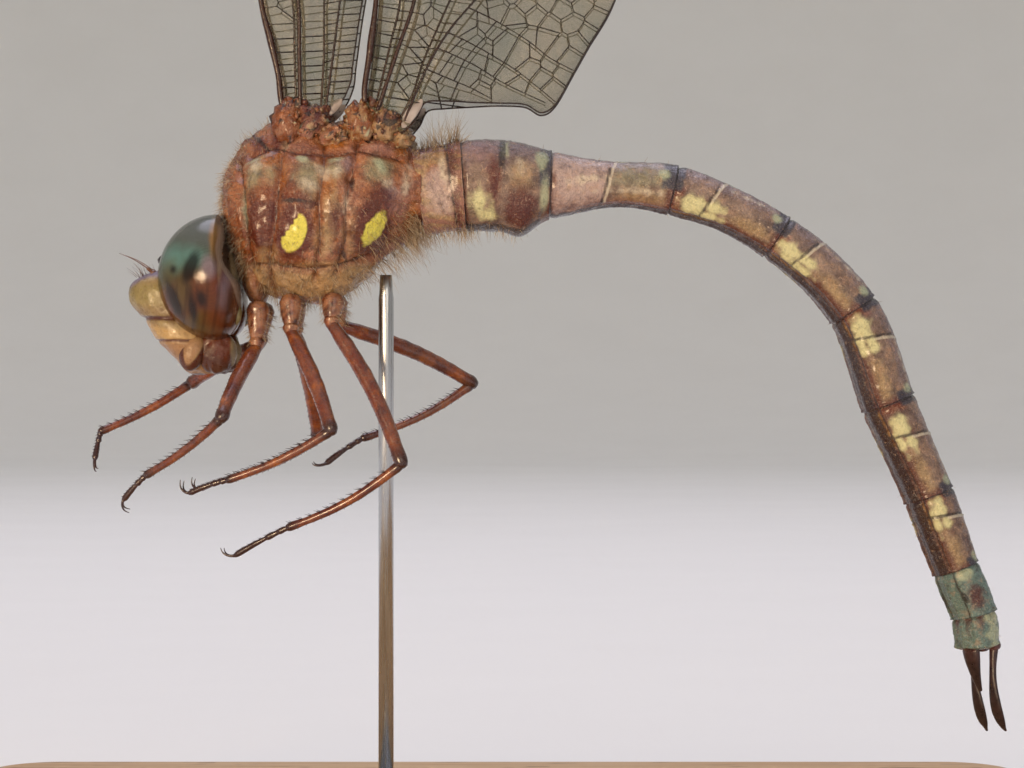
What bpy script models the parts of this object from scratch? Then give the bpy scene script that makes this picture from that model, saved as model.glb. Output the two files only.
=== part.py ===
"""Life-size display model of a male spotted darner dragonfly, its wings raised, on a plain stand.

The head points along -X, the tail along +X and then down, and the left side faces -Y. The
origin is the middle of the stand's underside. Lengths here are millimetres: MM turns them
into metres when a mesh or a curve is made. Angles are degrees.
"""

import math

import bmesh
import bpy
from mathutils import Matrix, Vector

MM = 0.001
GAP = 0.3  # clear space left between neighbouring pieces
SIDES = {"left": -1, "right": 1}

# The stand: a flat base and one rod up to the underside of the thorax.
BASE_SIZE = (60.0, 36.0, 3.0)
BASE_CORNER = 4.0
BASE_EDGE = 0.4
ROD_X = -6.0
ROD_TOP = 31.1
ROD_RADIUS = 0.4
COLLAR_RADIUS = 1.5
COLLAR_HEIGHT = 1.2

# The head. Each eye is a dome that bulges forwards and outwards from a rear rim, and the rim
# swells backwards over the lower half of the eye.
EYE_CENTRE = (-14.7, 1.5, 30.9)
EYE_HALF = (3.1, 3.1, 3.3)
EYE_REAR_DEPTHS = (0.1, 0.95)  # above and below the swelling
EYE_SWELLING = (32.3, 30.6)  # heights where it starts and is full
HEAD_CASE = ((-14.6, 0.0, 30.8), (0.9, 3.4, 2.85))  # centre and half sizes of what lies inside
HEAD_CASE_TILT = -6.0
# Height, foremost x and half width of the face, from the top of the forehead to the lip.
FACE_BACK = -15.0
FACE = (
    (31.35, -17.8, 1.1),
    (31.1, -18.4, 1.6),
    (30.75, -19.25, 1.95),
    (30.3, -19.5, 2.1),
    (29.45, -19.3, 2.15),
    (28.8, -18.75, 2.15),
    (27.85, -18.15, 2.2),
    (27.4, -17.75, 2.15),
    (26.8, -17.15, 2.0),
    (26.2, -16.65, 1.6),
    (25.9, -16.3, 1.1),
)
MOUTH = ((-15.5, 0.0, 27.3), (1.75, 2.3, 1.4))
FACE_SLOPE = 25.0  # the cuts through the face lean back by this much
BROW_CUT = 28.8
LIP_CUT = 27.5
FACE_DEPTH = 1.5
CHEEK_BACK = -15.55
CHEEK_TOP = 28.6

VERTEX = ((-18.0, 0.0, 31.95), (0.42, 0.55, 0.38))
ANTENNA_ROOT = (-18.45, 0.95, 31.55)
ANTENNA_TIP = (-19.8, 1.35, 32.05)

# The thorax: x, lowest z, highest z and half width of each section.
THORAX = (
    (-14.55, 34.2, 35.2, 0.45),
    (-14.32, 32.7, 36.6, 1.5),
    (-13.9, 31.8, 37.3, 2.3),
    (-13.15, 30.6, 38.15, 2.9),
    (-12.1, 29.95, 39.0, 3.35),
    (-10.5, 29.7, 39.45, 3.65),
    (-8.95, 29.7, 39.25, 3.7),
    (-7.4, 30.6, 39.45, 3.4),
    (-5.8, 32.2, 39.5, 2.6),
    (-5.0, 32.9, 38.6, 2.15),
    (-4.6, 33.3, 37.9, 1.9),
)
THORAX_POWER = 2.3
THORAX_TOP_NARROWING = 0.38
THORAX_UNDER_NARROWING = 0.30
THORAX_PARTING = ((-9.6, 0.0, 34.0), 6.0)  # a point on the parting and its lean to the rear
PROTHORAX = ((-12.95, 0.0, 31.1), (0.6, 1.5, 1.75))
PROTHORAX_TILT = -12.0

# The abdomen: length, downward pitch, height at the front and in the middle, width and roll
# of each segment, and the height at the tail's end.
ABDOMEN_START = (-4.3, 35.58)
ABDOMEN = (
    (2.4, -9.0, 4.2, 4.2, 3.6, 0.0),
    (4.6, 1.4, 4.4, 4.4, 4.2, 0.0),
    (6.45, 2.9, 3.5, 2.45, 2.6, 4.0),
    (6.0, 24.4, 2.7, 2.45, 2.6, 9.0),
    (5.5, 43.8, 2.5, 2.55, 2.8, 15.0),
    (5.25, 69.0, 2.65, 2.75, 3.0, 22.0),
    (5.3, 66.3, 2.75, 2.55, 2.85, 28.0),
    (4.1, 69.8, 2.45, 2.45, 2.7, 32.0),
    (2.6, 68.4, 2.25, 2.35, 2.5, 36.0),
    (1.6, 83.5, 2.25, 2.35, 2.3, 40.0),
)
TAIL_END_HEIGHT = 2.15
ABDOMEN_POWER = 2.2
ABDOMEN_SIDES = 14
SEGMENT_STEPS = (0.0, 0.12, 0.36, 0.62, 0.88, 1.0)
# The first two segments hang lower by a belly, and the second by the hamuli near its rear.
BELLY_DEPTH = 0.35
HAMULUS_DEPTH = 0.55

# Appendages at the tail's end: places along them in the last segment's own directions
# (along the tail, to its left, towards its back) and the widest radius.
CERCUS = ((0.4, 0.78, 0.46), (2.8, 0.59, 0.22), (4.65, 0.64, 0.75))
CERCUS_RADIUS = 0.3
EPIPROCT = ((0.4, 0.0, -0.5), (1.3, 0.0, -0.4), (2.35, 0.0, -0.2))
EPIPROCT_RADIUS = 0.38

# The wings stand up from the thorax as flat plates. Distances out from the root run
# along each wing's own axis, and across it towards the trailing edge.
WING_THICKNESS = 0.5
FOREWING = {
    "root": (-10.3, 40.1),
    "lean": -2.0,
    "spread": (1.4, 0.4),
    "length": 43.0,
    "outline": (
        (-0.4, -0.9), (1.5, -1.2), (3.3, -1.55), (5.5, -2.0), (12.0, -2.8), (20.0, -3.2),
        (30.0, -3.4), (37.0, -2.9), (41.5, -1.5), (43.0, 0.4), (41.8, 2.2), (38.0, 3.9),
        (32.0, 5.3), (25.0, 6.1), (18.0, 5.9), (11.0, 4.7), (5.4, 3.35), (2.2, 2.75),
        (0.8, 2.5), (-0.3, 1.8), (-0.5, 0.5),
    ),
}
HINDWING = {
    "root": (-6.05, 39.75),
    "lean": 11.0,
    "spread": (2.2, 1.25),
    "length": 42.0,
    "outline": (
        (0.1, -0.95), (2.7, -1.2), (5.3, -1.4), (11.0, -2.1), (17.0, -2.6), (27.0, -3.0),
        (34.5, -2.8), (40.0, -1.4), (42.0, 0.5), (41.0, 2.6), (37.0, 4.9), (30.0, 7.4),
        (22.0, 9.5), (14.0, 10.9), (11.0, 11.1), (7.7, 10.7), (5.4, 9.9), (3.9, 9.4),
        (2.0, 8.75), (1.4, 8.1), (1.65, 7.2), (1.5, 6.0), (1.2, 4.5), (0.9, 3.0),
        (0.6, 2.1), (-0.3, 1.8), (-1.1, 1.25), (-0.9, 0.8), (-0.5, 0.3),
    ),
}

# The legs: coxa, trochanter, knee, ankle, end of the foot and tip of the claw.
LEGS = {
    "foreleg_left": (
        (-12.6, -1.35, 29.25), (-12.65, -1.7, 27.3), (-14.1, -5.2, 23.65),
        (-18.3, -2.4, 20.65), (-19.55, -1.9, 19.35), (-19.1, -1.7, 18.9),
    ),
    "foreleg_right": (
        (-12.6, 1.35, 29.25), (-12.85, 1.9, 27.5), (-16.95, 5.6, 25.4),
        (-21.7, 4.4, 22.8), (-21.9, 3.6, 21.3), (-21.7, 3.5, 20.9),
    ),
    "midleg_left": (
        (-10.9, -1.35, 29.6), (-10.85, -1.8, 28.1), (-8.55, -4.9, 23.0),
        (-13.95, -3.6, 20.45), (-16.0, -3.0, 19.75), (-16.2, -2.8, 20.5),
    ),
    "midleg_right": (
        (-10.9, 1.35, 29.6), (-10.9, 1.8, 28.1), (-9.9, 4.6, 22.4),
        (-14.3, 1.6, 20.35), (-15.9, 0.8, 19.8), (-16.0, 0.6, 20.5),
    ),
    "hindleg_left": (
        (-8.7, -1.35, 29.65), (-8.75, -1.8, 28.5), (-5.0, -4.4, 21.3),
        (-10.85, -3.4, 18.0), (-13.7, -2.6, 16.5), (-14.2, -2.4, 17.0),
    ),
    "hindleg_right": (
        (-8.7, 1.35, 29.65), (-8.6, 1.8, 28.5), (-1.5, 5.5, 25.4),
        (-7.4, 3.4, 22.45), (-9.35, 2.6, 21.1), (-9.9, 2.5, 21.3),
    ),
}
# How far the middle of the thigh and of the shin bow out of a straight line, along x and z.
LEG_BOWS = {
    "foreleg": ((-0.1, 0.1), (0.1, -0.15)),
    "midleg": ((0.15, 0.05), (0.1, -0.2)),
    "hindleg": ((0.3, 0.2), (0.15, -0.3)),
}
COXA_RADIUS = 0.62
FEMUR_RADIUS = 0.48
KNEE_RADIUS = 0.36
TIBIA_RADIUS = 0.27
FOOT_RADIUS = 0.25

# Name, colour, roughness and metallic value of each finish.
FINISHES = {
    "brown_cuticle": ((0.27, 0.10, 0.055), 0.35, 0.0),
    "face_cuticle": ((0.48, 0.38, 0.17), 0.35, 0.0),
    "mouth_cuticle": ((0.17, 0.035, 0.02), 0.3, 0.0),
    "abdomen_cuticle": ((0.15, 0.095, 0.075), 0.4, 0.0),
    "compound_eye": ((0.08, 0.10, 0.11), 0.12, 0.0),
    "leg_cuticle": ((0.22, 0.065, 0.03), 0.3, 0.0),
    "dark_cuticle": ((0.03, 0.015, 0.015), 0.35, 0.0),
    "wing_membrane": ((0.42, 0.42, 0.36), 0.25, 0.0),
    "steel": ((0.55, 0.55, 0.55), 0.3, 1.0),
    "beech": ((0.62, 0.43, 0.26), 0.45, 0.0),
}


def clear_scene():
    """Removes every object that the file opened with."""
    for obj in list(bpy.data.objects):
        bpy.data.objects.remove(obj, do_unlink=True)


def collection(name):
    """A collection of this name, linked to the scene."""
    found = bpy.data.collections.new(name)
    bpy.context.scene.collection.children.link(found)
    return found


def finish(name):
    """The material of this name, made on its first use."""
    known = bpy.data.materials.get(name)
    if known:
        return known
    colour, roughness, metallic = FINISHES[name]
    material = bpy.data.materials.new(name)
    material.use_nodes = True
    shader = material.node_tree.nodes["Principled BSDF"]
    shader.inputs["Base Color"].default_value = (*colour, 1.0)
    shader.inputs["Roughness"].default_value = roughness
    shader.inputs["Metallic"].default_value = metallic
    return material


def place(name, data, group, finish_name):
    """An object of this mesh or curve, in a collection and with its finish."""
    obj = bpy.data.objects.new(name, data)
    data.materials.append(finish(finish_name))
    group.objects.link(obj)
    return obj


def from_bmesh(name, shape, group, finish_name):
    """An object made from a bmesh in millimetres, shaded smooth, with its normals outwards."""
    bmesh.ops.scale(shape, vec=(MM, MM, MM), verts=shape.verts)
    bmesh.ops.recalc_face_normals(shape, faces=shape.faces)
    mesh = bpy.data.meshes.new(name)
    shape.to_mesh(mesh)
    shape.free()
    mesh.shade_smooth()
    mesh.set_sharp_from_angle(angle=math.radians(40))
    return place(name, mesh, group, finish_name)


def ellipsoid(centre, half, tilt=0.0, grow=0.0, segments=20, rings=12):
    """A bmesh ellipsoid, leaned back about Y and grown evenly by a margin."""
    shape = bmesh.new()
    bmesh.ops.create_uvsphere(shape, u_segments=segments, v_segments=rings, radius=1.0)
    sizes = [value + grow for value in half]
    turn = Matrix.Rotation(math.radians(tilt), 4, "Y")
    bmesh.ops.transform(
        shape,
        matrix=Matrix.Translation(centre) @ turn @ Matrix.Diagonal((*sizes, 1.0)),
        verts=shape.verts,
    )
    return shape


def block(low, high, tilt=0.0, about=(0.0, 0.0, 0.0)):
    """A bmesh box between two corners, turned about Y round a point."""
    shape = bmesh.new()
    bmesh.ops.create_cube(shape, size=1.0)
    middle = [(a + b) / 2 for a, b in zip(low, high)]
    sizes = [b - a for a, b in zip(low, high)]
    pivot = Matrix.Translation(about)
    turn = pivot @ Matrix.Rotation(math.radians(tilt), 4, "Y") @ pivot.inverted()
    bmesh.ops.transform(
        shape,
        matrix=turn @ Matrix.Translation(middle) @ Matrix.Diagonal((*sizes, 1.0)),
        verts=shape.verts,
    )
    return shape


def halve(shape, point, normal):
    """Cuts away the side of a closed bmesh that the normal points to, and caps the cut."""
    parts = shape.verts[:] + shape.edges[:] + shape.faces[:]
    bmesh.ops.bisect_plane(
        shape, geom=parts, plane_co=point, plane_no=normal, clear_outer=True
    )
    rim = [edge for edge in shape.edges if edge.is_boundary]
    bmesh.ops.edgeloop_fill(shape, edges=rim)


def loft(rings):
    """A closed bmesh through rings of equally many points, with a flat cap at each end."""
    shape = bmesh.new()
    rows = [[shape.verts.new(point) for point in ring] for ring in rings]
    for row, following in zip(rows, rows[1:]):
        for i, corner in enumerate(row):
            j = (i + 1) % len(row)
            shape.faces.new((corner, row[j], following[j], following[i]))
    shape.faces.new(rows[0])
    shape.faces.new(list(reversed(rows[-1])))
    return shape


def rounded(value, power):
    """A sine or cosine drawn out towards a rectangle's corner: the superellipse's rule."""
    return math.copysign(abs(value) ** (2 / power), value)


def boolean(obj, other, operation):
    """A live Boolean of one object with another."""
    modifier = obj.modifiers.new(f"{operation} {other.name}", "BOOLEAN")
    modifier.object = other
    modifier.operation = operation


def guide(name, shape, group):
    """A piece that only shapes others: it isn't part of the model."""
    obj = from_bmesh(name, shape, group, "steel")
    obj.hide_render = True
    obj.display_type = "WIRE"
    return obj


def tube(name, points, radii, group, finish_name):
    """A tapering round tube through points, with a radius at each, as a capped curve."""
    curve = bpy.data.curves.new(name, "CURVE")
    curve.dimensions = "3D"
    curve.bevel_depth = MM
    curve.bevel_resolution = 2
    curve.use_fill_caps = True
    spline = curve.splines.new("POLY")
    spline.points.add(len(points) - 1)
    for knot, point, radius in zip(spline.points, points, radii):
        knot.co = (*(Vector(point) * MM), 1.0)
        knot.radius = radius
    return place(name, curve, group, finish_name)


def between(start, end, share):
    """The point this share of the way from one place to another."""
    return Vector(start).lerp(Vector(end), share)


def eased(low, high, value):
    """How far a value has gone from one limit to another, from 0 to 1, easing at both ends."""
    share = min(max((value - low) / (high - low), 0.0), 1.0)
    return share * share * (3 - 2 * share)


def eye_shape(side, grow=0.0):
    """One compound eye: a dome whose rear half is pressed nearly flat, and less so low down."""
    x, y, z = EYE_CENTRE
    shape = ellipsoid((x, side * y, z), EYE_HALF, 0.0, grow, 24, 14)
    upper, lower = EYE_REAR_DEPTHS
    for vertex in shape.verts:
        if vertex.co.x > x:
            depth = upper + (lower - upper) * eased(*EYE_SWELLING, vertex.co.z) + grow
            vertex.co.x = x + (vertex.co.x - x) * depth / (EYE_HALF[0] + grow)
    if not grow:
        halve(shape, (0.0, side * GAP / 2, 0.0), (0.0, -side, 0.0))
    return shape


def face_shape():
    """The bulging face as a stack of level sections with rounded fronts."""
    rings = []
    for z, front, half_width in FACE:
        middle = (front + FACE_BACK) / 2
        depth = (FACE_BACK - front) / 2
        angles = [math.tau * i / 16 for i in range(16)]
        rings.append(
            [
                (middle - depth * rounded(math.cos(a), 2.4),
                 half_width * rounded(math.sin(a), 2.4), z)
                for a in angles
            ]
        )
    return loft(rings)


def make_head(model, guides):
    """The head: its case, an eye on each side, and a face parted into its plates.

    Returns the guide that keeps other pieces clear of the case.
    """
    from_bmesh("head", ellipsoid(*HEAD_CASE, HEAD_CASE_TILT), model, "dark_cuticle")
    case_room = guide("room_for_case", ellipsoid(*HEAD_CASE, HEAD_CASE_TILT, GAP), guides)
    face = guide("face_mass", face_shape(), guides)
    mouth = guide("mouth_mass", ellipsoid(*MOUTH), guides)
    boolean(face, mouth, "UNION")
    boolean(face, case_room, "DIFFERENCE")
    for name, side in SIDES.items():
        eye = from_bmesh(f"eye_{name}", eye_shape(side), model, "compound_eye")
        boolean(eye, case_room, "DIFFERENCE")
        room = guide(f"room_for_eye_{name}", eye_shape(side, GAP), guides)
        boolean(face, room, "DIFFERENCE")

    wide, low, high, front = 6.0, 20.0, 36.0, -24.0
    pivot = (FACE[5][1], 0.0, BROW_CUT)
    inner = pivot[0] + FACE_DEPTH
    half_gap = GAP / 2
    brow, lip = BROW_CUT, LIP_CUT
    pieces = {
        "frons": ((front, -wide, brow + half_gap), (-12.0, wide, high), "face_cuticle"),
        "clypeus": ((front, -wide, lip + half_gap), (inner, wide, brow - half_gap), "face_cuticle"),
        "labrum": ((front, -wide, low), (inner, wide, lip - half_gap), "face_cuticle"),
        "mandible_left": (
            (inner + GAP, -wide, low), (CHEEK_BACK, -half_gap, CHEEK_TOP), "mouth_cuticle",
        ),
        "mandible_right": (
            (inner + GAP, half_gap, low), (CHEEK_BACK, wide, CHEEK_TOP), "mouth_cuticle",
        ),
        "labium": ((CHEEK_BACK + GAP, -wide, low), (-12.0, wide, CHEEK_TOP), "mouth_cuticle"),
    }
    for name, (bottom, top, finish_name) in pieces.items():
        obj = from_bmesh(name, block(bottom, top, -FACE_SLOPE, pivot), model, finish_name)
        boolean(obj, face, "INTERSECT")
    from_bmesh("vertex", ellipsoid(*VERTEX, 0.0, 0.0, 12, 8), model, "dark_cuticle")

    for name, side in SIDES.items():
        root = Vector((ANTENNA_ROOT[0], side * ANTENNA_ROOT[1], ANTENNA_ROOT[2]))
        tip = Vector((ANTENNA_TIP[0], side * ANTENNA_TIP[1], ANTENNA_TIP[2]))
        points = [between(root, tip, share) for share in (0.0, 0.2, 0.3, 1.0)]
        tube(f"antenna_{name}", points, (0.3, 0.3, 0.25, 0.25), model, "dark_cuticle")
    return case_room


def thorax_ring(x, low, high, half_width):
    """A section across the thorax: an egg, narrower above and below than at its middle."""
    middle, half_height = (low + high) / 2, (high - low) / 2
    ring = []
    for i in range(20):
        angle = math.tau * i / 20
        rise = math.sin(angle)
        narrowing = THORAX_TOP_NARROWING if rise > 0 else THORAX_UNDER_NARROWING
        width = half_width * (1 - narrowing * rise * rise)
        ring.append(
            (x, width * rounded(math.cos(angle), THORAX_POWER),
             middle + half_height * rounded(rise, THORAX_POWER))
        )
    return ring


def make_thorax(model, guides, case_room):
    """The neck's ring, and the main thorax parted by one slanting cut between its wings."""
    centre, half = PROTHORAX
    from_bmesh("prothorax", ellipsoid(centre, half, PROTHORAX_TILT, 0.0, 16, 10), model,
               "brown_cuticle")
    room = guide("room_for_prothorax", ellipsoid(centre, half, PROTHORAX_TILT, GAP, 16, 10),
                 guides)
    point, lean = THORAX_PARTING
    across = Vector((math.cos(math.radians(lean)), 0.0, -math.sin(math.radians(lean))))
    for name, side in (("mesothorax", 1), ("metathorax", -1)):
        shape = loft([thorax_ring(*section) for section in THORAX])
        halve(shape, Vector(point) - across * side * GAP / 2, across * side)
        obj = from_bmesh(name, shape, model, "brown_cuticle")
        if name == "mesothorax":
            boolean(obj, room, "DIFFERENCE")
            boolean(obj, case_room, "DIFFERENCE")


def tail_joints():
    """Places of the abdomen's joints and the direction of the tail at each."""
    x, z = ABDOMEN_START
    places, directions = [Vector((x, 0.0, z))], []
    for length, pitch, *_ in ABDOMEN:
        down = math.radians(pitch)
        directions.append(Vector((math.cos(down), 0.0, -math.sin(down))))
        places.append(places[-1] + directions[-1] * length)
    turning = [directions[0]]
    turning += [(a + b).normalized() for a, b in zip(directions, directions[1:])]
    turning.append(directions[-1])
    return places, turning


def tail_point(places, turning, index, share):
    """A place on the abdomen's middle line and its direction: a cubic between two joints."""
    start, end = places[index], places[index + 1]
    reach = (end - start).length
    a, b = turning[index] * reach, turning[index + 1] * reach
    t = share
    where = (
        start * (2 * t**3 - 3 * t**2 + 1) + a * (t**3 - 2 * t**2 + t)
        + end * (3 * t**2 - 2 * t**3) + b * (t**3 - t**2)
    )
    along = (
        (start - end) * (6 * t**2 - 6 * t) + a * (3 * t**2 - 4 * t + 1)
        + b * (3 * t**2 - 2 * t)
    )
    return where, along.normalized()


def tail_axes(along, roll):
    """Directions towards the tail's left side and its back, rolled about its middle line."""
    back = Vector((-along.z, 0.0, along.x))
    left = Vector((0.0, -1.0, 0.0))
    turn = math.radians(roll)
    return (
        left * math.cos(turn) + back * math.sin(turn),
        back * math.cos(turn) - left * math.sin(turn),
    )


def smooth_through(values, position):
    """A smooth curve's value: it passes through each of the evenly spaced values."""
    position = min(max(position, 0.0), len(values) - 1.0)
    index = min(int(position), len(values) - 2)
    t = position - index
    before = values[max(index - 1, 0)]
    start, end = values[index], values[index + 1]
    after = values[min(index + 2, len(values) - 1)]
    leaving, arriving = (end - before) / 2, (after - start) / 2
    return (
        start * (2 * t**3 - 3 * t**2 + 1) + leaving * (t**3 - 2 * t**2 + t)
        + end * (3 * t**2 - 2 * t**3) + arriving * (t**3 - t**2)
    )


def tail_size(index, share):
    """Height, width and roll of the abdomen at a place along one segment."""
    heights = [value for row in ABDOMEN for value in row[2:4]] + [TAIL_END_HEIGHT]
    position = index + share
    return (
        smooth_through(heights, 2 * position),
        smooth_through([row[4] for row in ABDOMEN], position - 0.5),
        smooth_through([row[5] for row in ABDOMEN], position - 0.5),
    )


def segment_shape(places, turning, index):
    """One abdominal segment: a flat-bellied tube with a slight flare at its rear rim."""
    length = ABDOMEN[index][0]
    inset = GAP / 2 / length
    rings = []
    for step in SEGMENT_STEPS:
        share = inset + step * (1 - 2 * inset)
        where, along = tail_point(places, turning, index, share)
        height, width, roll = tail_size(index, share)
        left, back = tail_axes(along, roll)
        flare = 1 + 0.05 * (step - 0.5)
        belly = BELLY_DEPTH * (1 - eased(1.2, 2.2, index + share))
        if index == 1:
            belly += HAMULUS_DEPTH * math.exp(-(((step - 0.7) / 0.18) ** 2))
        ring = []
        for i in range(ABDOMEN_SIDES):
            angle = math.tau * i / ABDOMEN_SIDES
            rise = rounded(math.sin(angle), ABDOMEN_POWER)
            half = height / 2 * flare + (belly if rise < 0 else 0.0)
            across = width / 2 * flare * rounded(math.cos(angle), ABDOMEN_POWER)
            ring.append(where + back * half * rise + left * across)
        rings.append(ring)
    return loft(rings)


def make_abdomen(model):
    """Ten segments along a bending middle line, and the clasping appendages at its end."""
    places, turning = tail_joints()
    for index in range(len(ABDOMEN)):
        from_bmesh(
            f"abdomen_{index + 1}", segment_shape(places, turning, index), model,
            "abdomen_cuticle",
        )
    end, along = places[-1], turning[-1]
    left, back = tail_axes(along, ABDOMEN[-1][5])

    def appendage(name, knots, side, radii):
        """A tapering tube on the parabola through three places."""
        points = []
        for i in range(6):
            t = i / 5
            weights = ((1 - t) * (1 - 2 * t), 4 * t * (1 - t), t * (2 * t - 1))
            reach, across, rise = (
                sum(w * knot[axis] for w, knot in zip(weights, knots)) for axis in range(3)
            )
            points.append(end + along * reach + left * side * across + back * rise)
        tube(name, points, radii, model, "dark_cuticle")

    thick = CERCUS_RADIUS
    for name, side in (("left", 1), ("right", -1)):
        radii = (0.25, 0.25, 0.27, thick, thick * 0.9, 0.15)
        appendage(f"cercus_{name}", CERCUS, side, radii)
    thick = EPIPROCT_RADIUS
    radii = (thick, thick, thick * 0.9, thick * 0.8, thick * 0.7, 0.2)
    appendage("epiproct", EPIPROCT, 1, radii)


def make_wing(name, side, wing, model):
    """A wing's outline as a filled curve, stood up on its root and leaned inwards."""
    curve = bpy.data.curves.new(name, "CURVE")
    curve.dimensions = "2D"
    curve.fill_mode = "BOTH"
    curve.extrude = WING_THICKNESS / 2 * MM
    curve.resolution_u = 3
    spline = curve.splines.new("BEZIER")
    spline.bezier_points.add(len(wing["outline"]) - 1)
    spline.use_cyclic_u = True
    for knot, (out, across) in zip(spline.bezier_points, wing["outline"]):
        knot.co = (across * MM, out * MM, 0.0)
        knot.handle_left_type = "AUTO"
        knot.handle_right_type = "AUTO"
    obj = place(name, curve, model, "wing_membrane")
    near, far = wing["spread"]
    inward = math.asin((near - far) / wing["length"])
    root_x, root_z = wing["root"]
    upright = Matrix.Rotation(math.radians(90) + side * inward, 4, "X")
    lean = Matrix.Rotation(math.radians(wing["lean"]), 4, "Y")
    obj.matrix_world = (
        Matrix.Translation(Vector((root_x, side * near, root_z)) * MM) @ lean @ upright
    )


def make_wings(model):
    """Both pairs of wings, the hind pair outside the fore pair."""
    for name, side in SIDES.items():
        make_wing(f"forewing_{name}", side, FOREWING, model)
        make_wing(f"hindwing_{name}", side, HINDWING, model)


def make_legs(model):
    """Six legs, each a thigh with its hip, a shin and a foot that ends in a claw."""
    for name, (coxa, trochanter, knee, ankle, toe, claw) in LEGS.items():
        thigh_bow, shin_bow = LEG_BOWS[name.split("_")[0]]

        def bowed(start, end, share, bow):
            side_step = Vector((bow[0], 0.0, bow[1])) * math.sin(math.pi * share)
            return between(start, end, share) + side_step

        thigh = [Vector(coxa), between(coxa, trochanter, 0.6), between(coxa, trochanter, 0.95)]
        thigh += [bowed(trochanter, knee, s, thigh_bow) for s in (0.12, 0.4, 0.7, 0.9, 1.0)]
        radii = (
            COXA_RADIUS, COXA_RADIUS, KNEE_RADIUS, FEMUR_RADIUS, FEMUR_RADIUS, FEMUR_RADIUS,
            KNEE_RADIUS, KNEE_RADIUS * 0.8,
        )
        tube(f"{name}_femur", thigh, radii, model, "leg_cuticle")

        shin_length = (Vector(ankle) - Vector(knee)).length
        clear = (2 * KNEE_RADIUS + GAP) / shin_length
        shin = [bowed(knee, ankle, s, shin_bow) for s in (clear, clear + 0.1, 0.4, 0.7, 1.0)]
        thick = TIBIA_RADIUS * 1.1
        radii = (thick, thick, TIBIA_RADIUS, TIBIA_RADIUS, FOOT_RADIUS)
        tube(f"{name}_tibia", shin, radii, model, "leg_cuticle")

        foot_length = (Vector(toe) - Vector(ankle)).length
        clear = (GAP + FOOT_RADIUS / 2) / foot_length
        foot = [between(ankle, toe, s) for s in (clear, 0.5, 0.96)]
        foot.append(between(toe, claw, 0.9))
        tube(f"{name}_tarsus", foot, (FOOT_RADIUS,) * 3 + (0.16,), model, "dark_cuticle")


def cylinder(low, high, radius, x, segments=24):
    """An upright round bar between two heights, on the model's middle plane."""
    shape = bmesh.new()
    bmesh.ops.create_cone(
        shape, cap_ends=True, segments=segments, radius1=radius, radius2=radius,
        depth=high - low,
    )
    bmesh.ops.translate(shape, vec=(x, 0.0, (low + high) / 2), verts=shape.verts)
    return shape


def make_stand(model):
    """A flat base with rounded corners, a collar on it, and the rod that holds the body."""
    length, width, height = BASE_SIZE
    base = from_bmesh(
        "stand_base", block((-length / 2, -width / 2, 0.0), (length / 2, width / 2, height)),
        model, "beech",
    )
    bevel = base.modifiers.new("rounded corners", "BEVEL")
    bevel.width = BASE_CORNER * MM
    bevel.segments = 5
    bevel.limit_method = "WEIGHT"
    weights = base.data.attributes.new("bevel_weight_edge", "FLOAT", "EDGE")
    for edge in base.data.edges:
        start, end = (base.data.vertices[i].co for i in edge.vertices)
        weights.data[edge.index].value = 1.0 if abs(start.z - end.z) > height * MM / 2 else 0.0
    edges = base.modifiers.new("eased edges", "BEVEL")
    edges.width = BASE_EDGE * MM
    edges.segments = 1
    edges.limit_method = "ANGLE"
    edges.angle_limit = math.radians(50)

    collar_top = height + GAP + COLLAR_HEIGHT
    from_bmesh(
        "stand_collar", cylinder(height + GAP, collar_top, COLLAR_RADIUS, ROD_X), model, "steel"
    )
    from_bmesh(
        "stand_rod", cylinder(collar_top + GAP, ROD_TOP, ROD_RADIUS, ROD_X, 16), model, "steel"
    )


def main():
    clear_scene()
    model = collection("dragonfly")
    guides = collection("guides")
    case_room = make_head(model, guides)
    make_thorax(model, guides, case_room)
    make_abdomen(model)
    make_wings(model)
    make_legs(model)
    make_stand(model)


main()
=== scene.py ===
"""Looks of a life-size display model of a male spotted darner dragonfly on a plain stand.

The head points along -X, the tail along +X and then down, and the left side faces -Y.
Shapes are worked out in millimetres as numpy arrays, and MM turns them into metres when a
mesh is made. Angles are radians unless a comment says degrees.
"""

import math

import bpy
import numpy as np
from bpy.props import FloatProperty, FloatVectorProperty, IntProperty, PointerProperty
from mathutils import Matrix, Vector
from mathutils.geometry import delaunay_2d_cdt


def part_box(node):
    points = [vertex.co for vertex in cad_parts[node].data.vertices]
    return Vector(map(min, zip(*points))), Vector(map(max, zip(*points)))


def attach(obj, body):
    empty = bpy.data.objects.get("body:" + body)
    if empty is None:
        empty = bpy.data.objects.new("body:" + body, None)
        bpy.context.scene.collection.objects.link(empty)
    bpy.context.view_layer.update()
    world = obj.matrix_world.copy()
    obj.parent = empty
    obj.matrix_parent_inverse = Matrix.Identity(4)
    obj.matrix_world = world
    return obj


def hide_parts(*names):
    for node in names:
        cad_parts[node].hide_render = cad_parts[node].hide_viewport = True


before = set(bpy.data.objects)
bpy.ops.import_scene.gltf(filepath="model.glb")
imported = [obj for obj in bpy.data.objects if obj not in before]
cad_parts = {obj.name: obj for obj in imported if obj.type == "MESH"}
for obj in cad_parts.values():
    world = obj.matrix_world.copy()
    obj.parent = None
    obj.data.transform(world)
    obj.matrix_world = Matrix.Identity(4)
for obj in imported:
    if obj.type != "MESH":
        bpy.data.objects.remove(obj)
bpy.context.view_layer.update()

bl_info = {
    "name": "Spotted darner display model",
    "version": (1, 0, 0),
    "blender": (4, 5, 0),
    "location": "3D View > Sidebar > Darner",
    "description": "Builds the skin, eyes, wings, legs and stand of a life-size dragonfly model",
    "category": "Object",
}

MM = 0.001
TAU = math.tau
SIDES = {"left": -1.0, "right": 1.0}

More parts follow.
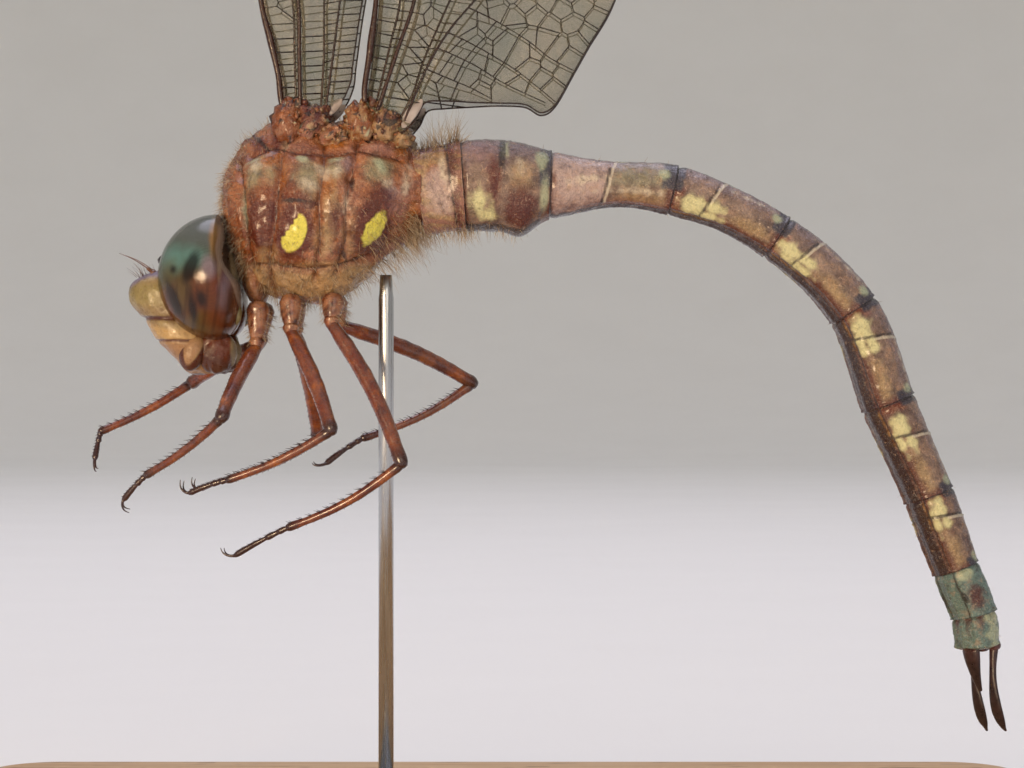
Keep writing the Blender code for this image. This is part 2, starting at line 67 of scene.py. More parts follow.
# The abdomen's driving sizes, as its solids have them: length, downward pitch in degrees, height
# at the front and in the middle, width and roll in degrees of each segment, then the height at
# the tail's end. The start is x and z.
ABDOMEN_START = (-4.3, 35.58)
ABDOMEN = np.array(
    (
        (2.4, -9.0, 4.2, 4.2, 3.6, 0.0),
        (4.6, 1.4, 4.4, 4.4, 4.2, 0.0),
        (6.45, 2.9, 3.5, 2.45, 2.6, 4.0),
        (6.0, 24.4, 2.7, 2.45, 2.6, 9.0),
        (5.5, 43.8, 2.5, 2.55, 2.8, 15.0),
        (5.25, 69.0, 2.65, 2.75, 3.0, 22.0),
        (5.3, 66.3, 2.75, 2.55, 2.85, 28.0),
        (4.1, 69.8, 2.45, 2.45, 2.7, 32.0),
        (2.6, 68.4, 2.25, 2.35, 2.5, 36.0),
        (1.6, 83.5, 2.25, 2.35, 2.3, 40.0),
    )
)
LENGTHS, PITCHES, _, _, WIDTHS, ROLLS = ABDOMEN.T
TAIL_END_HEIGHT = 2.15
TAIL_END = 9.999  # position just short of the last segment's end
ABDOMEN_COLUMNS = 74
ABDOMEN_POWER = 2.2
BELLY_DEPTH = 0.35
HAMULUS_DEPTH = 0.55
# Share of each segment's length at which its cross ridge stands, or none.
CARINA = (None, 0.42, 0.46, 0.34, 0.31, 0.335, 0.375, 0.31, None, None)

# The thorax: x, lowest z, highest z and half width of each section, as the solids have them.
THORAX = (
    (-14.55, 34.2, 35.2, 0.45),
    (-14.32, 32.7, 36.6, 1.5),
    (-13.9, 31.8, 37.3, 2.3),
    (-13.15, 30.6, 38.15, 2.9),
    (-12.1, 29.95, 39.0, 3.35),
    (-10.5, 29.7, 39.45, 3.65),
    (-8.95, 29.7, 39.25, 3.7),
    (-7.4, 30.6, 39.45, 3.4),
    (-5.8, 32.2, 39.5, 2.6),
    (-5.0, 32.9, 38.6, 2.15),
    (-4.6, 33.35, 37.85, 1.88),
    (-4.1, 33.45, 37.75, 1.78),
)
THORAX_RINGS, THORAX_COLUMNS = 160, 200
THORAX_POWER = 2.3
THORAX_TOP_NARROWING = 0.38
THORAX_UNDER_NARROWING = 0.30
PLATE_REACH = 0.75  # distance from a seam at which a plate's swell levels off
SEAM_WIDTH = 0.13
SPIRACLE = (-7.75, 36.0)  # the breathing hole's x and z
# Seams between the thorax's plates, seen from the side: x and z down each.
THORAX_SEAMS = (
    ((-14.1, 37.3), (-13.75, 35.9), (-13.65, 34.0), (-13.3, 31.4)),
    ((-11.3, 38.9), (-11.65, 37.3), (-11.75, 35.6), (-11.9, 33.9), (-12.3, 31.9), (-12.2, 30.0)),
    ((-9.35, 38.6), (-9.3, 36.8), (-9.55, 34.8), (-9.45, 33.0), (-9.9, 30.8)),
    ((-7.55, 38.4), (-7.75, 36.6), (-8.05, 34.8), (-8.0, 33.0), (-8.6, 31.2)),
    ((-13.4, 37.55), (-12.2, 38.1), (-10.8, 37.75), (-9.0, 37.65), (-7.4, 37.85), (-5.2, 37.4)),
    ((-13.4, 31.6), (-11.9, 31.55), (-10.3, 31.3), (-8.6, 31.45), (-6.6, 32.2), (-5.1, 33.2)),
)

# The side plan on which marks are laid out is drawn larger than the body, about this x and z.
PLAN_CENTRE = (0.63, 25.37)
PLAN_SCALE = 1.0255
# Marks on the thorax's sides: centre x and z, half sizes and lean of their ellipses.
THORAX_MARKS = {
    "spot": ((-10.88, 33.36, 0.66, 1.06, 0.35), (-6.68, 33.6, 0.40, 1.02, 0.52)),
    "maroon": ((-12.72, 33.7, 0.75, 1.25, 0.05), (-10.85, 33.5, 1.05, 1.55, 0.12),
               (-6.75, 33.55, 1.0, 1.65, 0.2), (-8.72, 34.2, 0.3, 0.7, 0.0),
               (-10.3, 34.9, 0.7, 0.5, 0.0), (-12.95, 38.3, 0.95, 0.36, 0.75),
               (-11.9, 38.3, 0.32, 0.55, 0.2), (-12.6, 34.3, 0.85, 0.8, 0.0),
               (-6.4, 35.1, 0.75, 0.6, 0.0)),
    "rust": ((-12.6, 35.3, 0.85, 0.55, 0.0), (-13.3, 32.2, 0.5, 0.7, 0.0),
             (-10.9, 35.4, 0.7, 0.35, 0.0), (-11.1, 31.9, 0.9, 0.4, 0.0),
             (-8.6, 37.75, 0.8, 0.16, 0.0), (-7.9, 35.6, 0.25, 0.9, 0.1),
             (-11.7, 36.5, 0.25, 0.9, 0.0), (-13.9, 34.5, 0.14, 1.9, 0.1)),
    "amber": ((-12.2, 37.6, 0.68, 0.6, 0.0), (-8.72, 38.3, 0.6, 0.5, 0.0),
              (-9.05, 35.9, 0.35, 0.6, 0.0), (-13.45, 32.4, 0.3, 0.5, -0.3),
              (-4.75, 34.4, 0.22, 0.7, 0.3), (-5.2, 37.9, 0.3, 0.35, 0.0),
              (-11.6, 36.2, 0.3, 0.6, 0.0), (-9.7, 34.1, 0.18, 0.4, 0.0)),
    "sage": ((-13.0, 36.4, 0.5, 0.95, 0.25), (-10.1, 36.3, 0.7, 0.9, -0.25),
             (-6.4, 36.8, 0.75, 0.75, -0.3), (-10.0, 35.2, 0.4, 0.5, 0.0),
             (-8.95, 36.7, 0.6, 0.55, 0.0), (-12.0, 36.6, 0.5, 0.6, 0.0)),
    "pale": ((-13.66, 34.6, 0.12, 0.75, -0.08), (-10.47, 37.35, 0.32, 0.22, 0.2),
             (-8.65, 37.3, 0.38, 0.16, -0.2), (-6.35, 37.0, 0.22, 0.5, -0.5),
             (-13.1, 37.3, 0.5, 0.09, -0.4)),
    # silver: painted highlights, pale glints of light on the plates.
    "silver": ((-10.1, 35.9, 0.55, 0.3, 0.2), (-9.3, 36.6, 0.3, 0.45, -0.5),
               (-8.6, 36.6, 0.2, 0.3, 0.4), (-6.0, 36.0, 0.3, 0.2, 0.3),
               (-5.0, 36.2, 0.18, 0.6, 0.2), (-8.1, 34.9, 0.16, 0.5, 0.1),
               (-13.0, 36.9, 0.3, 0.25, 0.0), (-11.4, 38.4, 0.2, 0.4, 0.5)),
    "bloom": ((-8.05, 37.1, 0.42, 0.38, 0.0), (-5.3, 32.9, 0.6, 0.22, -0.6),
              (-5.8, 35.4, 0.3, 0.6, 0.2)),
    "dark": ((-7.72, 35.95, 0.11, 0.45, 0.0), (-8.15, 32.0, 0.10, 0.5, -0.2),
             (-12.9, 38.4, 0.9, 0.10, 0.72), (-10.75, 35.0, 0.8, 0.14, 0.1)),
    "tan": ((-8.9, 34.9, 0.4, 1.5, 0.0), (-12.4, 32.0, 0.7, 0.8, 0.0),
            (-7.9, 33.2, 0.35, 1.0, 0.1), (-9.3, 33.0, 0.5, 1.0, 0.1)),
    "flesh": ((-8.0, 34.2, 0.30, 2.4, 0.05), (-5.2, 35.2, 0.4, 1.5, 0.2),
              (-11.2, 38.0, 0.9, 0.35, 0.0), (-6.6, 37.9, 1.3, 0.35, 0.0),
              (-9.4, 32.2, 0.7, 0.7, 0.0), (-12.1, 31.3, 0.9, 0.5, 0.0)),
}

# The legs: coxa, trochanter, knee, ankle, end of the foot and tip of the claw.
LEGS = {
    "foreleg_left": (
        (-12.6, -1.35, 29.25), (-12.65, -1.7, 27.3), (-14.1, -5.2, 23.65),
        (-18.3, -2.4, 20.65), (-19.55, -1.9, 19.35), (-19.1, -1.7, 18.9),
    ),
    "foreleg_right": (
        (-12.6, 1.35, 29.25), (-12.85, 1.9, 27.5), (-16.95, 5.6, 25.4),
        (-21.7, 4.4, 22.8), (-21.9, 3.6, 21.3), (-21.7, 3.5, 20.9),
    ),
    "midleg_left": (
        (-10.9, -1.35, 29.6), (-10.85, -1.8, 28.1), (-8.55, -4.9, 23.0),
        (-13.95, -3.6, 20.45), (-16.0, -3.0, 19.75), (-16.2, -2.8, 20.5),
    ),
    "midleg_right": (
        (-10.9, 1.35, 29.6), (-10.9, 1.8, 28.1), (-9.9, 4.6, 22.4),
        (-14.3, 1.6, 20.35), (-15.9, 0.8, 19.8), (-16.0, 0.6, 20.5),
    ),
    "hindleg_left": (
        (-8.7, -1.35, 29.65), (-8.75, -1.8, 28.5), (-5.0, -4.4, 21.3),
        (-10.85, -3.4, 18.0), (-13.7, -2.6, 16.5), (-14.2, -2.4, 17.0),
    ),
    "hindleg_right": (
        (-8.7, 1.35, 29.65), (-8.6, 1.8, 28.5), (-1.5, 5.5, 25.4),
        (-7.4, 3.4, 22.45), (-9.35, 2.6, 21.1), (-9.9, 2.5, 21.3),
    ),
}
# How far the middle of the thigh and of the shin bow out of a straight line, along x and z.
LEG_BOWS = {
    "foreleg": ((-0.1, 0.1), (0.1, -0.15)),
    "midleg": ((0.15, 0.05), (0.1, -0.2)),
    "hindleg": ((0.3, 0.2), (0.15, -0.3)),
}


# --- Numbers ---------------------------------------------------------------------------------


def linear(code):
    """An sRGB hex colour as linear red, green and blue."""
    values = [int(code[i : i + 2], 16) / 255 for i in (1, 3, 5)]
    return tuple(v / 12.92 if v <= 0.04045 else ((v + 0.055) / 1.055) ** 2.4 for v in values)


def eased(low, high, value):
    """How far a value has gone from one limit to another, from 0 to 1, easing at both ends."""
    share = np.clip((value - low) / (high - low), 0.0, 1.0)
    return share * share * (3 - 2 * share)


def bump(value, centre, width):
    """A bell curve: 1 at the centre, and 1/e at a width from it."""
    return np.exp(-(((value - centre) / width) ** 2))


def rounded(value, power):
    """A sine or cosine drawn out towards a rectangle's corner: the superellipse's rule."""
    return np.sign(value) * np.abs(value) ** (2 / power)


def turns(count):
    """The angles of even steps round a circle."""
    return np.arange(count) * TAU / count


def together(*parts):
    """Arrays or numbers side by side on a new last axis: coordinates, radii or corners."""
    return np.stack(np.broadcast_arrays(*parts), axis=-1)


def unit(vectors):
    """The same directions with length 1."""
    return vectors / np.maximum(np.linalg.norm(vectors, axis=-1, keepdims=True), 1e-12)


def cubic(start, end, leaving, arriving, t):
    """The cubic between two places with given slopes at its ends."""
    return (
        start * (2 * t**3 - 3 * t**2 + 1) + leaving * (t**3 - 2 * t**2 + t)
        + end * (3 * t**2 - 2 * t**3) + arriving * (t**3 - t**2)
    )


def through(values, position):
    """A smooth curve's values: a cubic between each two of the evenly spaced rows, which leaves
    and arrives along the chords of their neighbours."""
    rows = np.asarray(values, float)
    position = np.clip(np.asarray(position, float), 0.0, len(rows) - 1.0)
    index = np.minimum(position.astype(int), len(rows) - 2)
    t = (position - index).reshape(position.shape + (1,) * (rows.ndim - 1))
    before, start, end, after = (
        rows[np.clip(index + step, 0, len(rows) - 1)] for step in (-1, 0, 1, 2)
    )
    return cubic(start, end, (end - before) / 2, (after - start) / 2, t)


def smooth_line(knots, count):
    """Evenly stepped points on a smooth curve through knots."""
    return through(knots, np.linspace(0, len(knots) - 1, count))


def line_distance(points, knots):
    """Distance of each flat point from the nearest stretch of a line through knots."""
    knots = np.asarray(knots, float)
    start, step = knots[:-1], np.diff(knots, axis=0)
    offset = points[..., None, :] - start
    share = np.clip((offset * step).sum(-1) / (step**2).sum(-1), 0.0, 1.0)
    return np.linalg.norm(offset - share[..., None] * step, axis=-1).min(-1)


def lumps(points, size, seed):
    """Smooth unevenness between about -1 and 1: the sum of sine waves in seeded directions,
    whose crests lie about `size` apart."""
    rng = np.random.default_rng(seed)
    waves = unit(rng.normal(size=(10, 3))) * TAU / size * rng.uniform(0.6, 1.5, (10, 1))
    return np.sin(points @ waves.T + rng.uniform(0, TAU, 10)).sum(-1) / 4


def blob(points, centre, half, lean=0.0):
    """How deep flat points lie inside an ellipse, in millimetres: negative outside it."""
    offset = points - np.asarray(centre, float)
    across = offset[..., 0] * math.cos(lean) - offset[..., 1] * math.sin(lean)
    along = offset[..., 0] * math.sin(lean) + offset[..., 1] * math.cos(lean)
    return (1 - np.hypot(across / half[0], along / half[1])) * min(half)


# --- Surfaces --------------------------------------------------------------------------------


class Shape:
    """Closed surfaces: vertices in millimetres, four- and three-cornered faces, and named
    values at the vertices."""

    def __init__(self, vertices, quads, triangles, values=None):
        self.vertices = vertices
        self.quads = quads
        self.triangles = triangles
        self.values = values or {}

    def with_values(self, **values):
        """Adds values at the vertices, each an array or one number for all."""
        for name, value in values.items():
            self.values[name] = np.broadcast_to(value, len(self.vertices)).astype(float)
        return self


def grid_quads(rows, columns):
    """The faces between rings of points that are numbered ring after ring."""
    row, column = np.meshgrid(np.arange(rows - 1), np.arange(columns), indexing="ij")
    here, following = row * columns + column, row * columns + (column + 1) % columns
    return together(here, following, following + columns, here + columns).reshape(-1, 4)


def lofted(rings, **values):
    """Closed surfaces through rings of points (pieces, rings, points, 3). The end rings are
    closed by fans to their middles, and all faces are turned outwards together. A named value
    is one number, or an array that fits (pieces, rings, points)."""
    if rings.ndim == 3:
        rings = rings[None]
        values = {name: np.asarray(value)[None] for name, value in values.items()}
    pieces, rows, columns = rings.shape[:3]
    ends = rings[:, [0, -1]].mean(axis=2)
    vertices = np.concatenate([rings.reshape(pieces, -1, 3), ends], axis=1)
    spoke = np.arange(columns)
    turn = (spoke + 1) % columns
    first, last = rows * columns, (rows - 1) * columns
    triangles = np.concatenate([
        together(turn, spoke, first), together(last + spoke, last + turn, first + 1),
    ])
    offsets = (np.arange(pieces) * vertices.shape[1])[:, None, None]
    quads = (grid_quads(rows, columns) + offsets).reshape(-1, 4)
    triangles = (triangles + offsets).reshape(-1, 3)
    flat = vertices.reshape(-1, 3)
    centred = flat - flat.mean(axis=0)
    a, b, c, d = (centred[quads[:, i]] for i in range(4))
    volume = (a * np.cross(b, c)).sum() + (a * np.cross(c, d)).sum()
    e, f, g = (centred[triangles[:, i]] for i in range(3))
    volume += (e * np.cross(f, g)).sum()
    if volume < 0:
        quads, triangles = quads[:, ::-1], triangles[:, ::-1]
    named = {}
    for name, value in values.items():
        value = np.broadcast_to(value, rings.shape[:3])
        middles = value[:, [0, -1]].mean(axis=2)
        named[name] = np.concatenate([value.reshape(pieces, -1), middles], axis=1).ravel()
    return Shape(flat, quads, triangles, named)


def joined(*shapes):
    """Several shapes as one. A value that a shape lacks counts as far outside its mark."""
    names = {name for shape in shapes for name in shape.values}
    offsets = np.cumsum([0] + [len(shape.vertices) for shape in shapes])
    values = {
        name: np.concatenate(
            [shape.values.get(name, np.full(len(shape.vertices), -1.0)) for shape in shapes]
        )
        for name in sorted(names)
    }
    return Shape(
        np.concatenate([shape.vertices for shape in shapes]),
        np.concatenate([shape.quads + start for shape, start in zip(shapes, offsets)]),
        np.concatenate([shape.triangles + start for shape, start in zip(shapes, offsets)]),
        values,
    )


def swept(path, radii, sides=12, across=(0.0, 1.0, 0.0)):
    """Rings round a path (..., points, 3), square to it. The radii are one number a point, or
    two: along the direction square to `across`, and along `across` itself."""
    along = unit(np.gradient(path, axis=-2))
    first = unit(np.cross(along, np.broadcast_to(across, path.shape)))
    second = np.cross(first, along)
    radii = np.asarray(radii, float)
    if radii.ndim < path.ndim or radii.shape[-1] != 2:
        radii = together(radii, radii)
    angle = turns(sides)[:, None]
    ring = (
        np.cos(angle) * (first * radii[..., :1])[..., None, :]
        + np.sin(angle) * (second * radii[..., 1:])[..., None, :]
    )
    return path[..., None, :] + ring


def domed(path, radii, share=0.8):
    """A path and its radii with rounded ends: two more points past each end, on a dome."""
    path, radii = np.asarray(path, float), np.asarray(radii, float)
    head = unit(path[0] - path[1])
    tail = unit(path[-1] - path[-2])
    steps, shrinks = (0.95, 0.65), (0.32, 0.76)
    before = [path[0] + head * radii[0] * share * step for step in steps]
    after = [path[-1] + tail * radii[-1] * share * step for step in reversed(steps)]
    thin = [radii[0] * shrink for shrink in shrinks]
    thinner = [radii[-1] * shrink for shrink in reversed(shrinks)]
    return np.array([*before, *path, *after]), np.array([*thin, *radii, *thinner])


def tube(path, radii, sides, **values):
    """A round tube with domed ends along a path."""
    path, radii = domed(path, radii)
    return lofted(swept(path, radii, sides), **values)


def grid_normals(grid):
    """Outward normals of a closed tube of rings (rings, points, 3)."""
    along = np.gradient(grid, axis=0)
    around = np.roll(grid, -1, axis=1) - np.roll(grid, 1, axis=1)
    normals = unit(np.cross(along, around))
    outward = grid - grid.mean(axis=1, keepdims=True)
    return normals * np.sign((normals * outward).sum())


def ellipsoids(centres, halves, tilts=0.0, columns=20, rows=12, uneven=0.0, seed=1):
    """Ellipsoids leaned back about Y by tilts in degrees: rings at even angles from pole to
    pole, pushed in and out by unevenness."""
    centres = np.atleast_2d(np.asarray(centres, float))
    halves = np.broadcast_to(np.asarray(halves, float), centres.shape)
    tilt = np.broadcast_to(np.radians(tilts), len(centres))[:, None, None]
    polar = np.linspace(0.08, math.pi - 0.08, rows)[:, None]
    turn = turns(columns)
    shape = (np.sin(polar) * np.cos(turn), np.sin(polar) * np.sin(turn), np.cos(polar))
    x, y, z = (shape[axis] * halves[:, axis, None, None] for axis in range(3))
    leaned = together(x * np.cos(tilt) + z * np.sin(tilt), y,
                      z * np.cos(tilt) - x * np.sin(tilt))
    places = leaned + centres[:, None, None, :]
    if uneven:
        swell = 1 + uneven * lumps(places, 0.5, seed)[..., None]
        places = leaned * swell + centres[:, None, None, :]
    return places


def solid_box(name):
    """The lowest and the highest corner of one of the solids, in millimetres."""
    return (np.array(corner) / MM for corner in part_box(name))


def solid_middle(name):
    """The middle of one of the solids and half its size, in millimetres."""
    low, high = solid_box(name)
    return (low + high) / 2, (high - low) / 2


# --- Objects and materials -------------------------------------------------------------------


def model_object(name, shape, material, replaced=(), unwrapped=None):
    """A finished piece: a smooth mesh at the origin with its named values as attributes.

    It rides on the model's one body, takes the given material and stands for the
    solids that it replaces. unwrapped gives each vertex's place on the map for baking.
    """
    mesh = bpy.data.meshes.new(name)
    sizes = [4] * len(shape.quads) + [3] * len(shape.triangles)
    corners = np.concatenate([shape.quads.ravel(), shape.triangles.ravel()]).astype(np.int32)
    mesh.vertices.add(len(shape.vertices))
    mesh.vertices.foreach_set("co", (shape.vertices * MM).ravel())
    mesh.loops.add(len(corners))
    mesh.loops.foreach_set("vertex_index", corners)
    mesh.polygons.add(len(sizes))
    starts = np.concatenate([[0], np.cumsum(sizes)[:-1]]).astype(np.int32)
    mesh.polygons.foreach_set("loop_start", starts)
    mesh.update(calc_edges=True)
    mesh.validate()
    mesh.shade_smooth()
    for key, value in shape.values.items():
        attribute = mesh.attributes.new(key, "FLOAT", "POINT")
        attribute.data.foreach_set("value", value.astype(np.float32))
    obj = bpy.data.objects.new(name, mesh)
    bpy.context.scene.collection.objects.link(obj)
    mesh.materials.append(material)
    if unwrapped is not None:
        layer = mesh.uv_layers.new(name="OFBake")
        layer.uv.foreach_set("vector", unwrapped[corners].astype(np.float32).ravel())
    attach(obj, "root")
    if replaced:
        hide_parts(*replaced)


def node(tree, kind, inputs=None, **settings):
    """Adds a shader node with its settings. An input takes a value, or a socket to link."""
    made = tree.nodes.new(kind)
    for name, value in settings.items():
        setattr(made, name, value)
    for key, value in (inputs or {}).items():
        if isinstance(value, bpy.types.NodeSocket):
            tree.links.new(value, made.inputs[key])
        else:
            made.inputs[key].default_value = value
    return made


def new_material(name, **shader_inputs):
    """A material with one Principled shader, whose all-over values are set on its sockets."""
    material = bpy.data.materials.new(name)
    material.use_nodes = True
    shader = material.node_tree.nodes["Principled BSDF"]
    for key, value in shader_inputs.items():
        shader.inputs[key.replace("_", " ")].default_value = value
    return material, material.node_tree


def rgba(colour):
    """A colour property, or an sRGB hex colour, as the four numbers that a socket takes."""
    return (*(linear(colour) if isinstance(colour, str) else colour), 1.0)


def attribute(tree, name):
    """The values that a mesh keeps under a name."""
    return node(tree, "ShaderNodeAttribute", attribute_name=name).outputs["Fac"]


def object_noise(tree, size_mm, detail=3.0, roughness=0.55, stretch=(1.0, 1.0, 1.0)):
    """Noise on the object's own coordinates, with patches of about this size."""
    where = node(tree, "ShaderNodeTexCoord").outputs["Object"]
    scaled = node(
        tree, "ShaderNodeMapping",
        {"Vector": where, "Scale": tuple(1 / (size_mm * MM) * s for s in stretch)},
    ).outputs["Vector"]
    return node(
        tree, "ShaderNodeTexNoise",
        {"Vector": scaled, "Scale": 1.0, "Detail": detail, "Roughness": roughness},
    ).outputs["Fac"]


def mixed(tree, share, below, above):
    """Two colours, sockets or given, mixed by a share between 0 and 1."""
    mix = node(tree, "ShaderNodeMix", {"Factor": share}, data_type="RGBA", clamp_factor=True)
    for key, value in (("A", below), ("B", above)):
        socket = next(s for s in mix.inputs if s.name == key and s.type == "RGBA")
        if isinstance(value, bpy.types.NodeSocket):
            tree.links.new(value, socket)
        else:
            socket.default_value = rgba(value)
    return next(s for s in mix.outputs if s.type == "RGBA")


def spread(tree, value, low, high, to_low=0.0, to_high=1.0, **settings):
    """Maps a value's range to another, held at its ends."""
    return node(
        tree, "ShaderNodeMapRange",
        {"Value": value, "From Min": low, "From Max": high, "To Min": to_low,
         "To Max": to_high}, **settings,
    ).outputs["Result"]


def marked(tree, colour, name, mark, softness, wander, noise, strength=1.0):
    """Lays a mark's colour over what is below it: the attribute says how many millimetres a
    place is inside the mark, noise moves its edge by `wander`, and the edge is soft."""
    moved = node(
        tree, "ShaderNodeMath", {0: noise, 1: 2 * wander, 2: attribute(tree, name)},
        operation="MULTIPLY_ADD",
    ).outputs[0]
    share = spread(tree, moved, wander - softness, wander + softness, 0.0, strength,
                   interpolation_type="SMOOTHSTEP")
    return mixed(tree, share, colour, mark)


# --- Sizes and colours that a user would change ------------------------------------------------


def size(name, description, default):
    """A length in millimetres."""
    return FloatProperty(name=name, description=description + ", in millimetres",
                         default=default, min=0.0)


def colour(name, description, code):
    """A colour, given as sRGB hex and kept linear."""
    return FloatVectorProperty(name=name, description=description, subtype="COLOR", size=3,
                               min=0.0, max=1.0, default=linear(code))


class DarnerSizes(bpy.types.PropertyGroup):
    """Sizes of what the skin, wings and coat add to the solids."""

    seam_depth: size("Seam depth", "Depth of the grooves between the thorax's plates", 0.16)
    plate_swell: size("Plate swell", "How far each thorax plate bulges out of its seams", 0.26)
    rim_height: size("Rim height", "How far a segment's rear rim stands over the next", 0.05)
    facet: size("Facet", "Distance between the facets of an eye", 0.07)
    cross_vein: size("Cross vein", "Radius of the thin veins between wing cells", 0.024)
    membrane: size("Membrane", "Thickness of the wing membrane, thicker than in life", 0.03)
    cell: size("Wing cell", "Usual size of a wing's cells", 0.92)
    hair_length: size("Hair length", "Length of the longest hairs on the thorax", 1.1)
    hair_radius: size("Hair radius", "Radius of a hair at its root", 0.014)
    spine_length: size("Spine length", "Length of the spines along the shins", 0.42)
    hair_count: IntProperty(name="Hairs", description="Number of hairs on the body",
                            default=5200, min=0)


class DarnerColours(bpy.types.PropertyGroup):
    """Colours of the cuticle, its marks, the eyes, wings and stand."""

    thorax: colour("Thorax", "Reddish-brown cuticle of the thorax", "#6d3a24")
    thorax_light: colour("Light thorax", "Paler patches of the thorax", "#a86c43")
    abdomen: colour("Abdomen", "Mauve-brown cuticle of the abdomen", "#58433b")
    abdomen_light: colour("Light abdomen", "Paler patches of the abdomen", "#8b7465")
    spot: colour("Spot", "Yellow spots", "#dbd255")
    pale: colour("Pale", "Pale green-white marks", "#a9b193")
    sage: colour("Sage", "Grey-green bloom", "#8a8769")
    verdigris: colour("Verdigris", "Grey-green of the last segments", "#577671")
    flesh: colour("Flesh", "Pinkish, half clear cuticle", "#95685a")
    tan: colour("Tan", "Granular tan patches", "#a88e62")
    amber: colour("Amber", "Amber patches", "#9a5a18")
    rust: colour("Rust", "Orange-red behind each joint", "#70330f")
    maroon: colour("Maroon", "Dark maroon patches", "#4c1006")
    slate: colour("Slate", "Blue-grey rear bands", "#2b2f3e")
    dark: colour("Dark", "Near-black lines and bands", "#1a1113")
    face: colour("Face", "Tan-yellow of the forehead", "#97835a")
    cream: colour("Cream", "Cream of the lips and jaws", "#b3925e")
    leg: colour("Leg", "Reddish-brown cuticle of the legs", "#6a3220")
    leg_dark: colour("Dark leg", "Dark brown of the feet and joints", "#2c1512")
    hair: colour("Hair", "Golden hairs", "#cdbb9c")
    eye_top: colour("Eye top", "Slate-lavender crown of the eye", "#565c5a")
    eye_front: colour("Eye front", "Teal front of the eye", "#5b827d")
    eye_low: colour("Eye below", "Brown lower part of the eye", "#5c3014")
    membrane: colour("Membrane", "Smoky clear wing membrane", "#59604c")
    vein: colour("Vein", "Brown-black wing veins", "#1d100b")
    vein_red: colour("Red vein", "Reddish-brown leading veins", "#371a0e")
    beech: colour("Beech", "Oiled beech", "#c9a67c")
    floor: colour("Floor", "Pale studio floor", "#efede8")


# --- Abdomen -----------------------------------------------------------------------------------


def tail_joints():
    """Places of the abdomen's joints and the tail's direction at each: the mean of the
    directions before and behind it."""
    down = np.radians(PITCHES)
    directions = together(np.cos(down), 0.0, -np.sin(down))
    start = np.array([[ABDOMEN_START[0], 0.0, ABDOMEN_START[1]]])
    steps = directions * LENGTHS[:, None]
    places = np.concatenate([start, start + np.cumsum(steps, axis=0)])
    between = unit(directions[:-1] + directions[1:])
    return places, np.concatenate([directions[:1], between, directions[-1:]])


def tail_frame(position):
    """The middle line at a position (segment index + share): its place and its directions
    along the tail, to its left and towards its back. A cubic joins each two joints."""
    places, turning = tail_joints()
    index = np.clip(position.astype(int), 0, len(ABDOMEN) - 1)
    t = (position - index)[..., None]
    start, end = places[index], places[index + 1]
    reach = np.linalg.norm(end - start, axis=-1, keepdims=True)
    a, b = turning[index] * reach, turning[index + 1] * reach
    where = cubic(start, end, a, b, t)
    along = unit(
        (start - end) * (6 * t**2 - 6 * t) + a * (3 * t**2 - 4 * t + 1) + b * (3 * t**2 - 2 * t)
    )
    roll = np.radians(through(ROLLS, position - 0.5))[..., None]
    back = together(-along[..., 2], 0.0, along[..., 0])
    left = np.broadcast_to((0.0, -1.0, 0.0), along.shape)
    return (
        where, along, left * np.cos(roll) + back * np.sin(roll),
        back * np.cos(roll) - left * np.sin(roll),
    )


def carina_share(index, girth):
    """Share of the segment's length at which its cross ridge lies: further forward low down."""
    shares = np.array([-9.0 if share is None else share for share in CARINA])
    return shares[index] + 0.08 * girth


def abdomen_surface(position, turn, rim_height):
    """Points of the abdomen and how far round they lie: girth is 1 at the back, 0 at the
    sides and -1 under the belly.

    A section is a superellipse, deeper below on the first two segments. Rear rims stand out,
    front edges tuck in, each cross ridge is a step behind a groove, a groove parts the belly
    from the side plates, and fine keels run along the back, the belly and the sides.
    """
    index = np.clip(position.astype(int), 0, len(ABDOMEN) - 1)
    share = position - index
    length = LENGTHS[index]
    where, _, left, back = tail_frame(position)
    heights = np.append(ABDOMEN[:, 2:4].ravel(), TAIL_END_HEIGHT)
    height = through(heights, 2 * position)
    width = through(WIDTHS, position - 0.5)
    girth = np.arcsin(np.clip(np.sin(turn), -1, 1)) / (math.pi / 2)
    belly = BELLY_DEPTH * (1 - eased(1.2, 2.2, position))
    belly = belly + np.where(index == 1, HAMULUS_DEPTH * bump(share, 0.7, 0.18), 0.0)

    # In turn: the rear rim, the front edge, the cross ridge behind its groove, the groove above
    # the belly plates, the belly plates drawn in, and the keels below, on top and at the sides.
    plate = eased(-0.72, -0.62, girth)
    to_rear, to_front = (1 - share) * length, share * length
    swell = rim_height * np.exp(-((to_rear / 0.14) ** 2)) * (0.35 + 0.65 * plate)
    swell = swell - 0.09 * np.exp(-((to_front / 0.16) ** 2))
    swell = np.where((index == 0) & (share < 0.4), 0.0, swell)
    from_ridge = (share - carina_share(index, girth)) * length
    ridge = 0.05 * bump(from_ridge, 0.06, 0.07) - 0.06 * bump(from_ridge, -0.04, 0.045)
    swell = swell + ridge * eased(-0.72, -0.5, girth)
    swell = swell - 0.07 * bump(girth, -0.66, 0.035) * eased(1.9, 2.4, position)
    swell = swell - 0.10 * (1 - plate) * eased(2.0, 2.6, position)
    swell = swell + 0.07 * bump(girth, -1.0, 0.06) * eased(2.0, 2.6, position)
    swell = swell + 0.035 * bump(girth, 1.0, 0.035) + 0.03 * bump(girth, -0.1, 0.03) * bump(
        position, 3.0, 0.8)

    rise = rounded(np.sin(turn), ABDOMEN_POWER)
    up = (height / 2 + np.where(rise < 0, belly, 0.0) + swell) * rise
    across = (width / 2 + swell) * rounded(np.cos(turn), ABDOMEN_POWER)
    points = where + back * up[..., None] + left * across[..., None]
    return points, girth, index, share, length


